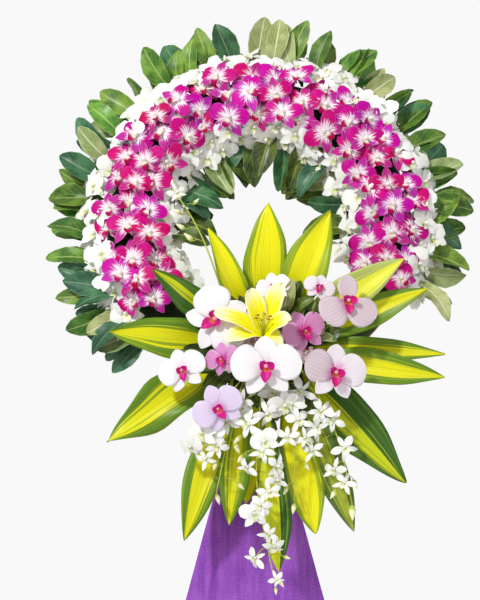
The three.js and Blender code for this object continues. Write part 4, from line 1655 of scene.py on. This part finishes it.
ROUND, STAR = Head.WHITE, Head.SLENDER
SPRAYS = (
    Spray("white_spray_centre",
          ((0.006, -0.117, 0.850), (0.002, -0.152, 0.812), (-0.004, -0.168, 0.740), (-0.008, -0.168, 0.640),
           (0.008, -0.166, 0.540), (0.024, -0.164, 0.462)),
          ((0.023, 0.794, 0.026, ROUND), (-0.032, 0.778, 0.023, STAR), (0.010, 0.757, 0.024, STAR),
           (-0.022, 0.738, 0.025, STAR), (0.006, 0.708, 0.024, ROUND), (0.026, 0.664, 0.022, STAR),
           (0.014, 0.622, 0.021, STAR), (-0.012, 0.582, 0.023, ROUND), (0.012, 0.548, 0.018, STAR),
           (-0.011, 0.508, 0.019, STAR), (0.040, 0.772, 0.027, ROUND), (-0.006, 0.808, 0.023, STAR),
           (0.000, 0.690, 0.022, STAR), (-0.024, 0.664, 0.018, STAR), (0.026, 0.640, 0.020, STAR),
           (-0.002, 0.598, 0.020, STAR), (0.022, 0.528, 0.018, STAR), (0.026, 0.472, 0.014, STAR)),
          ((0.42, -0.030, -0.016, 0.020), (0.5, -0.024, -0.016, 0.018), (0.96, 0.008, -0.01, 0.016),
           (1.0, 0.0, -0.008, 0.014), (0.87, 0.024, -0.004, 0.014))),
    Spray("white_spray_left",
          ((-0.026, -0.117, 0.846), (-0.034, -0.146, 0.806),
           (-0.054, -0.156, 0.752), (-0.064, -0.154, 0.690),
           (-0.078, -0.150, 0.622)),
          ((-0.102, 0.722, 0.026, ROUND), (-0.060, 0.744, 0.023, STAR), (-0.122, 0.700, 0.020, ROUND),
           (-0.076, 0.700, 0.020, STAR), (-0.086, 0.722, 0.024, ROUND), (-0.096, 0.680, 0.019, STAR),
           (-0.040, 0.758, 0.022, STAR)),
          ((0.66, 0.014, -0.012, 0.022), (0.78, 0.034, -0.02, 0.020),
           (0.8, -0.012, -0.012, 0.018), (1.0, 0.0, -0.01, 0.020),
           (0.9, 0.030, -0.016, 0.019))),
    Spray("white_spray_middle_right",
          ((0.038, -0.117, 0.846), (0.048, -0.148, 0.812), (0.056, -0.160, 0.750), (0.058, -0.158, 0.690),
           (0.058, -0.154, 0.606)),
          ((0.054, 0.774, 0.024, STAR), (0.064, 0.746, 0.023, STAR), (0.046, 0.716, 0.020, STAR),
           (0.068, 0.800, 0.023, STAR), (0.076, 0.714, 0.019, STAR)),
          ((0.62, 0.016, -0.014, 0.018), (0.8, 0.016, -0.012, 0.018), (0.9, -0.012, -0.01, 0.017),
           (1.0, 0.0, -0.01, 0.020))),
    Spray("white_spray_right",
          ((0.062, -0.117, 0.856), (0.088, -0.140, 0.812), (0.118, -0.150, 0.756), (0.142, -0.148, 0.690),
           (0.158, -0.144, 0.604)),
          ((0.097, 0.732, 0.023, STAR), (0.124, 0.748, 0.023, STAR), (0.146, 0.698, 0.023, STAR),
           (0.128, 0.660, 0.022, STAR), (0.090, 0.694, 0.020, STAR), (0.104, 0.762, 0.022, STAR),
           (0.144, 0.638, 0.019, STAR)),
          ((0.86, 0.010, -0.012, 0.018), (0.93, -0.022, -0.018, 0.020), (1.0, 0.0, -0.012, 0.028))),
    Spray("bud_spray",
          ((-0.044, -0.117, 0.905), (-0.072, -0.160, 0.985),
           (-0.100, -0.172, 1.060), (-0.130, -0.160, 1.120),
           (-0.160, -0.138, 1.166)),
          ((-0.150, 1.158, 0.018, STAR),),
          ((0.5, -0.020, 0.006, 0.022), (0.58, -0.024, 0.006, 0.020), (0.7, -0.016, 0.006, 0.018),
           (0.8, 0.014, 0.008, 0.016),
           (1.0, 0.0, 0.008, 0.014)), slot="bud_green"),
)


@dataclass
class Lily:
    """The lily: six recurved tepals that open upwards and to the front, with stamens and a style.

    Attributes:
        throat: Where the tepals meet.
        tepals: Each tepal's tip from the throat: to the right, to the front and up.
    """

    throat: Point = (0.004, -0.150, 0.890)
    width: float = 0.035
    facing: Point = (0.0, -0.88, 0.47)
    tepals: tuple[Point, ...] = (
        (-0.064, 0.044, -0.004), (-0.024, 0.034, 0.088), (0.047, 0.040, 0.033), (-0.086, 0.046, 0.043),
        (0.032, 0.030, 0.100), (0.026, 0.030, -0.018),
    )
    finish: PetalFinish = PetalFinish(
        "lily_tepal", roughness=0.4, soft=0.1, relief=0.3, throat=rgb(252, 244, 10), body=rgb(255, 251, 206),
        rim=rgb(255, 254, 244), vein=rgb(250, 240, 60), reach=0.58, rays=0.9, rim_share=0.8,
        veins=0.25, hue_span=0.01)

    def tepal(self, shape: Shape, tip: Vector, draw: Random) -> None:
        """Adds one tepal, broad in the middle, with a keel and a tip that rolls back."""
        across, along = 8, 18
        axis = Vector((0.0, -0.62, 0.78))
        base = Vector(self.throat)
        end = base + tip
        out = (tip - axis * tip.dot(axis)).normalized()
        path = bezier([base, base + axis * 0.030 + out * 0.006,
                       base + tip * 0.6 + axis * 0.016, end + out * 0.002,
                       end - axis * 0.006], along)
        facing = Vector(self.facing)
        verts = add_grid(shape, across, along)
        phase = draw.uniform(0, tau)
        for vert in verts:
            side, share = vert.co.x, (vert.co.y + 1) / 2
            point, k = point_on(path, share)
            tangent = (path[k + 1] - path[k]).normalized()
            inner = (facing - tangent * facing.dot(tangent)).normalized()
            lateral = tangent.cross(inner)
            half = self.width / 2 * max(sin(pi * share ** 0.92) ** 0.8, 0.3 * (1 - share) ** 2, 0.05)
            lift = 0.28 * half * side * side - 0.0016 * (1 - abs(side)) ** 6
            lift += 0.0018 * sin(13 * share + phase) * side * side * side
            vert.co = point + lateral * side * half + inner * lift

    def build(self, stalk_root: Vector) -> None:
        """Builds the whole flower.

        Args:
            stalk_root: Where its stalk leaves the foam.
        """
        shape, draw = new_shape(), Random(31)
        for tip in self.tepals:
            self.tepal(shape, Vector((tip[0], -tip[1], tip[2])), draw)
        bmesh.ops.solidify(shape, geom=list(shape.faces), thickness=0.0005)
        throat, axis = Vector(self.throat), Vector((0.0, -0.62, 0.78))
        for k in range(6):
            turn = tau * k / 6 + 0.3
            spread = Vector((cos(turn), 0.5 * sin(turn), 0.5 * sin(turn))) * 0.013
            end = throat + axis * 0.046 + spread
            sweep(shape, spline([throat, throat + axis * 0.024 + spread * 0.3, end], 4), [0.0008] * 9, 5, 1)
            anther = bmesh.ops.create_uvsphere(shape, u_segments=6, v_segments=5, radius=0.0016, matrix=(
                Matrix.Translation(end) @ Matrix.Rotation(turn, 4, "Z")
                @ Matrix.Diagonal((2.6, 1, 1, 1))))["verts"]
            for face in {face for vert in anther for face in vert.link_faces}:
                face.smooth, face.material_index = True, 2
        sweep(shape, spline([throat, throat + axis * 0.03, throat + axis * 0.056], 4),
              [0.0012] * 8 + [0.002], 6, 1)
        sweep(shape, spline([throat + axis * 0.004, throat - axis * 0.014, stalk_root], 5),
              [0.005] + [0.0032] * 10, 8, 1)
        set_tint(shape, 0.4)
        anthers = replace(BUD, name="lily_anther", throat=rgb(196, 120, 30),
                          body=rgb(170, 90, 20), rim=rgb(150, 80, 20),
                          vein=rgb(120, 60, 10))
        publish(shape, "lily", (self.finish, STEM, anthers), ("lily",))


@dataclass
class Bouquet:
    """The focal bouquet: tray, foam, wires, striped leaves, moth orchids, lily and sprays."""

    x: float = 0.009
    height: float = 0.881
    half_wide: float = 0.084
    half_tall: float = 0.065
    back: float = -0.0605
    front: float = -0.116
    heads: Heads = field(default_factory=Heads)

    def root(self, centre: Vector, share: float) -> Vector:
        """A point on the foam's face, on the way from its middle to a flower."""
        right, up = (centre.x - self.x) / self.half_wide, (centre.z - self.height) / self.half_tall
        scale = share / max(1.0, hypot(right, up))
        return Vector((self.x + self.half_wide * right * scale, self.front,
                       self.height + self.half_tall * up * scale))

    def build(self) -> None:
        """Builds every piece of the bouquet."""
        self.build_core()
        self.build_filler()
        for index, leaf in enumerate(STRIPED_LEAVES):
            self.build_leaf(leaf, index)
        for index, flower in enumerate(MOTH_ORCHIDS):
            self.build_orchid(flower, index)
        lily = Lily()
        lily.build(self.root(Vector(lily.throat), 0.4))
        for index, spray in enumerate(SPRAYS):
            self.build_spray(spray, index)

    def puck(self, half_wide: float, half_tall: float, levels: Sequence[tuple[float, float]]) -> Shape:
        """A rounded oval block from its share of full size at each depth, from back to front."""
        shape = new_shape()
        made = bmesh.ops.create_circle(shape, cap_ends=True, segments=48, radius=1.0)["verts"]
        for vert in made:
            vert.co = Vector((vert.co.x * half_wide, levels[0][1], vert.co.y * half_tall))
        edges = list(shape.edges)
        before = levels[0][0]
        for share, depth in levels[1:]:
            verts, edges, _ = grow(shape, edges)
            for vert in verts:
                vert.co = Vector((vert.co.x * share / before, depth, vert.co.z * share / before))
            before = share
        bmesh.ops.contextual_create(shape, geom=edges)
        bmesh.ops.recalc_face_normals(shape, faces=shape.faces)
        bmesh.ops.translate(shape, vec=(self.x, 0, self.height), verts=shape.verts)
        return shape

    def build_core(self) -> None:
        """Builds the foam, the tray under it and the two wires that bind them to the ring."""
        levels = [(1.0, self.back), (1.005, self.back - 0.02), (1.0, self.front + 0.014),
                  (0.95, self.front + 0.006),
                  (0.85, self.front + 0.001), (0.5, self.front)]
        foam = self.puck(self.half_wide, self.half_tall, levels)
        publish(foam, "bouquet_foam", (FOAM,), ("bouquet_foam",))
        back = self.back + 0.0004
        tray = self.puck(0.104, 0.076, [(0.98, back + 0.004), (1.0, back + 0.003),
                                        (1.0, back + 0.001), (0.985, back)])
        publish(tray, "bouquet_tray", (TRAY,), ("bouquet_tray",))
        for name, side in (("binding_wire_left", -1), ("binding_wire_right", 1)):
            shape = new_shape()
            x = self.x + side * 0.092
            low, high, near, far, soft = 0.838, 0.962, -0.0645, 0.0125, 0.005
            corners = [(near, low), (near, high), (far, high), (far, low)]
            ring = []
            for k, (y, z) in enumerate(corners):
                before, after = corners[k - 1], corners[(k + 1) % 4]
                here = Vector((x, y, z))
                for other in (before, after):
                    ring.append(here + (Vector((x, *other)) - here).normalized() * soft)
            sweep(shape, [*ring, ring[0]], [0.0013] * 9, 6)
            twist = [Vector((x, far + 0.003, 0.90 - 0.004 * k))
                     + Vector((0.002 * cos(k * 1.7), 0.0015 * sin(k * 1.7), 0))
                     for k in range(8)]
            sweep(shape, twist, [0.0012] * 8, 6)
            publish(shape, name, (WIRE,), (name,))

    def build_filler(self) -> None:
        """Builds the short leaves and small heads that are pinned on the foam and hide it."""
        draw = Random(77)
        greens = [LeafShape(0.4, 0.56).template(f"filler_leaf_{k}", 90 + k) for k in range(4)]
        leaves, blooms = new_shape(), new_shape()
        for k in range(64):
            rim = k < 40
            turn = tau * (k / 40 if rim else k / 24) + draw.uniform(-0.1, 0.1)
            share = 0.96 if rim else draw.uniform(0.25, 0.85)
            place = Vector((self.x + self.half_wide * share * cos(turn),
                            self.front + (0.014 if rim else 0.0),
                            self.height + self.half_tall * share * sin(turn)))
            out = Vector((cos(turn), 0, sin(turn)))
            along = (out + TO_VIEWER * draw.uniform(0.2, 0.7)
                     + Vector((draw.gauss(0, 0.3), 0, draw.gauss(0, 0.3)))).normalized()
            face = TO_VIEWER + Vector((draw.gauss(0, 0.4), 0, draw.gauss(0, 0.4)))
            basis = standing(along, face)
            length = draw.uniform(0.050, 0.078) if rim else draw.uniform(0.032, 0.05)
            pale = 1 if draw.random() < 0.22 else None
            draw.choice(greens).copy(leaves,
                Matrix.Translation(place) @ basis @ Matrix.Scale(length, 4), draw.random(), pale)
        publish(leaves, "bouquet_foliage", (LEAF_INNER, LEAF_UNDER))
        for k in range(16):
            turn, share = k * 2.4, sqrt((k + 0.5) / 16) * 0.92
            place = Vector((self.x + self.half_wide * share * cos(turn),
                            self.front - draw.uniform(0.008, 0.018),
                            self.height + self.half_tall * share * sin(turn)))
            way = TO_VIEWER + Vector((cos(turn) * 0.6 * share, 0, sin(turn) * 0.6 * share))
            self.heads.add(blooms, ROUND, looking(place, way, draw.uniform(0, tau)),
                           draw.uniform(0.02, 0.026), draw)
        publish(blooms, "bouquet_small_blooms",
                (BLUSH_PETAL, BLUSH_PETAL, MAGENTA_LIP, COLUMN))

    def build_leaf(self, leaf: StripedLeaf, index: int) -> None:
        """Builds one striped leaf.

        Args:
            leaf: Its sizes and place.
            index: Its number, for its small differences.
        """
        draw = Random(200 + index)
        across, along = 10, 26
        turn = radians(leaf.at)
        base = Vector((self.x + self.half_wide * 1.0 * cos(turn), -leaf.root,
                       self.height + self.half_tall * 1.0 * sin(turn)))
        tip = Vector((leaf.tip[0], -leaf.out, leaf.tip[1]))
        middle = (base + tip) / 2 + TO_VIEWER * leaf.bow
        path = bezier([base, middle, tip], along)
        shape = new_shape()
        verts = add_grid(shape, across, along)
        phase, twist = draw.uniform(0, tau), radians(leaf.twist)
        for vert in verts:
            side, share = vert.co.x, (vert.co.y + 1) / 2
            point, k = point_on(path, share)
            tangent = (path[min(k + 1, along)] - path[max(k - 1, 0)]).normalized()
            lateral = tangent.cross(TO_VIEWER).normalized()
            front = lateral.cross(tangent).normalized()
            angle = twist * (share - 0.35)
            lateral, front = (lateral * cos(angle) + front * sin(angle),
                              front * cos(angle) - lateral * sin(angle))
            warped = min(1.0, share ** (log(0.5) / log(leaf.belly)))
            half = max(0.0035 * (1 - share), 0.0008, leaf.width / 2 * sin(pi * warped) ** 0.85)
            lift = leaf.fold * half * abs(side) ** 1.3 - 0.15 * half * side * side
            lift += (leaf.wave * leaf.width * sin(9 * share + phase + 1.2 * side) * side * side
                     * min(1.0, 3 * share))
            half *= 1 + 0.6 * leaf.wave * sin(13 * share + phase + 2 * side)
            vert.co = point - lateral * side * half + front * lift
        bmesh.ops.recalc_face_normals(shape, faces=shape.faces)
        set_tint(shape, draw.random())
        name = f"striped_leaf_{leaf.name}"
        publish(shape, name, (leaf.finish,), (name,), wall=0.0007)

    def build_orchid(self, flower: MothOrchid, index: int) -> None:
        """Builds one moth orchid with its stalk.

        Args:
            flower: Its sizes and place.
            index: Its number, for its small differences.
        """
        draw = Random(300 + index)
        shape = new_shape()
        for petal in flower.petals():
            petal.build(shape, flower.radius, draw)
        for lobe in flower.lip():
            lobe.build(shape, flower.radius, draw)
        bmesh.ops.solidify(shape, geom=list(shape.faces), thickness=0.0006)
        size = flower.radius
        column = [Vector((0, 0.06, 0.02)), Vector((0, 0.05, 0.14)),
                  Vector((0, 0.01, 0.21)), Vector((0, -0.04, 0.24))]
        sweep(shape, [point * size for point in column],
              [size * share for share in (0.06, 0.075, 0.07, 0.03)], 8, 4)
        bmesh.ops.transform(shape, matrix=turned(flower.at, flower.up, flower.right, flower.roll),
                            verts=shape.verts)
        centre = Vector(flower.at)
        stops = [centre + Vector((0, 0.003, 0)), *([Vector(flower.via)] if flower.via else []),
                 self.root(centre, flower.root)]
        path = spline(stops, 6)
        sweep(shape, path, [0.0014] * len(path), 6, 2)
        set_tint(shape, draw.random())
        name = f"moth_orchid_{flower.name}"
        # The fourth finish is the greyish purple painted shade for the shaded petal.
        finishes = (flower.tone.finish(), MOTH_LIP, STEM, OrchidTone.SHADE_MAUVE.finish(), MOTH_COLUMN)
        publish(shape, name, finishes, (name,))

    def build_spray(self, spray: Spray, index: int) -> None:
        """Builds one spray: stem, heads on their pedicels, and buds.

        Args:
            spray: Its sizes and place.
            index: Its number, for its small differences.
        """
        draw = Random(400 + index)
        shape = new_shape()
        path = spline([Vector(point) for point in spray.stem], 6)
        radii = [0.0019 - 0.0009 * k / (len(path) - 1) for k in range(len(path))]
        sweep(shape, path, radii, 7, 4)
        set_tint(shape, 0.5)
        for x, z, radius, kind in spray.heads:
            node = min(path, key=lambda point: hypot(point.x - x, point.z - z - 0.012))
            centre = Vector((x, node.y - 0.009, z))
            bend = node.lerp(centre, 0.5) + Vector((0, -0.002, 0.005))
            first = len(shape.verts)
            sweep(shape, spline([node, bend, centre], 3), [0.0009] * 7, 5, 4)
            set_tint(shape, draw.random(), first)
            way = TO_VIEWER + Vector(((x - node.x) * 10 + draw.uniform(-0.3, 0.3),
                                      0, draw.uniform(-0.6, 0.1)))
            self.heads.add(shape, kind, looking(centre, way, draw.gauss(0, 0.4)), radius * 1.2, draw)
        for share, right, up, length in spray.buds:
            self.build_bud(shape, path[round(share * (len(path) - 1))], right, up, length, draw)
        finishes = (WHITE_PETAL, WHITE_PETAL, WHITE_LIP, COLUMN, STEM, BUD)
        publish(shape, spray.node, finishes, (spray.node,))

    def build_bud(
        self, shape: Shape, node: Vector, right: float, up: float, length: float, draw: Random
    ) -> None:
        """Adds a closed bud on a short stalk.

        Args:
            shape: The spray so far.
            node: Where its stalk leaves the stem.
            right: How far it stands to the right.
            up: How far it stands up, or down if negative.
            length: The bud's length.
            draw: The source of its small differences.
        """
        base = node + Vector((right, -0.004, up * 0.4))
        first = len(shape.verts)
        sweep(shape, spline([node, node.lerp(base, 0.6) + Vector((0, -0.001, 0.004)), base], 3),
              [0.0008] * 7, 5, 4)
        way = Vector((right * 0.5 + draw.uniform(-0.003, 0.003), -0.002, up)).normalized()
        ends = [base + way * length * k / 6 for k in range(7)]
        swell = [0.10, 0.30, 0.36, 0.33, 0.25, 0.14, 0.03]
        sweep(shape, ends, [length * 0.62 * value for value in swell], 8, 5)
        set_tint(shape, draw.random(), first)


# ---- studio ----


@dataclass
class Studio:
    """The pale floor, the soft lights and the camera."""

    camera_at: Point = (-0.037, -3.074, 0.9725)
    lens: float = 97.3
    key: float = 92.0
    fill: float = 14.0
    ambient: float = 0.52

    def build(self) -> None:
        """Builds the floor, the world, the lights and the camera."""
        self.build_floor()
        self.build_world()
        self.add_light("key_light", (-1.7, -2.7, 3.2), (0.0, -0.05, 0.95), 0.35, self.key)
        self.add_light("fill_light", (2.4, -2.8, 1.6), (0.0, -0.05, 0.9), 2.0, self.fill)
        self.add_light("back_light", (1.2, 2.4, 2.4), (0.0, 0.0, 0.9), 1.8, self.fill * 0.9)
        camera = bpy.data.cameras.new("camera")
        camera.lens, camera.sensor_width, camera.sensor_fit = self.lens, 36.0, "AUTO"
        holder = bpy.data.objects.new("camera", camera)
        holder.location = self.camera_at
        holder.rotation_euler = (radians(90), 0, 0)
        bpy.context.scene.collection.objects.link(holder)
        bpy.context.scene.camera = holder
        bpy.context.scene.view_settings.view_transform = "Standard"

    def build_floor(self) -> None:
        """Builds the pale floor."""
        shape = bmesh.new()
        bmesh.ops.create_circle(shape, cap_ends=True, segments=96, radius=2.05)
        mesh = bpy.data.meshes.new("floor")
        shape.to_mesh(mesh)
        shape.free()
        material = bpy.data.materials.new("pale_floor")
        material.use_nodes = True
        graph = Graph(material.node_tree)
        shader = material.node_tree.nodes["Principled BSDF"]
        spot = graph.node("ShaderNodeTexCoord").outputs["Object"]
        cloud = graph.noise(spot, 2.0, 3.0)
        graph.feed(shader.inputs["Base Color"], graph.mix(cloud, rgb(244, 243, 241), rgb(250, 249, 247)))
        shader.inputs["Roughness"].default_value = 0.8
        mesh.materials.append(material)
        floor = bpy.data.objects.new("floor", mesh)
        bpy.context.scene.collection.objects.link(floor)

    def build_world(self) -> None:
        """Lights the scene evenly and shows a near-white background behind it."""
        world = bpy.data.worlds.new("studio")
        world.use_nodes = True
        bpy.context.scene.world = world
        graph = Graph(world.node_tree)
        world.node_tree.nodes.clear()
        seen = graph.node("ShaderNodeBackground")
        seen.inputs["Color"].default_value = rgb(249, 249, 249)
        soft = graph.node("ShaderNodeBackground")
        soft.inputs["Color"].default_value = (1.0, 1.0, 1.0, 1.0)
        soft.inputs["Strength"].default_value = self.ambient
        blend = graph.node("ShaderNodeMixShader")
        graph.feed(blend.inputs[0], graph.node("ShaderNodeLightPath").outputs["Is Camera Ray"])
        graph.feed(blend.inputs[1], soft.outputs[0])
        graph.feed(blend.inputs[2], seen.outputs[0])
        graph.feed(graph.node("ShaderNodeOutputWorld").inputs["Surface"], blend.outputs[0])

    def add_light(
        self, name: str, at: Point, aim: Point, size: float, power: float
    ) -> None:
        """Adds one square soft light.

        Args:
            name: The light's name.
            at: Where it stands.
            aim: What it points at.
            size: The length of its side.
            power: Its power in watts.
        """
        light = bpy.data.lights.new(name, "AREA")
        light.energy, light.size = power, size
        holder = bpy.data.objects.new(name, light)
        holder.location = at
        holder.rotation_euler = (Vector(aim) - Vector(at)).to_track_quat("-Z", "Y").to_euler()
        bpy.context.scene.collection.objects.link(holder)


def main() -> None:
    """Builds the studio and every sub-assembly, in order."""
    logging.basicConfig(level=logging.INFO, format="%(name)s: %(message)s")
    Studio().build()
    RingCore().build()
    Stand().build()
    Skirt().build()
    bouquet = Bouquet()
    FlowerBands().build(bouquet.heads)
    LeafFringes().build()
    bouquet.build()


if __name__ == "__main__":
    main()
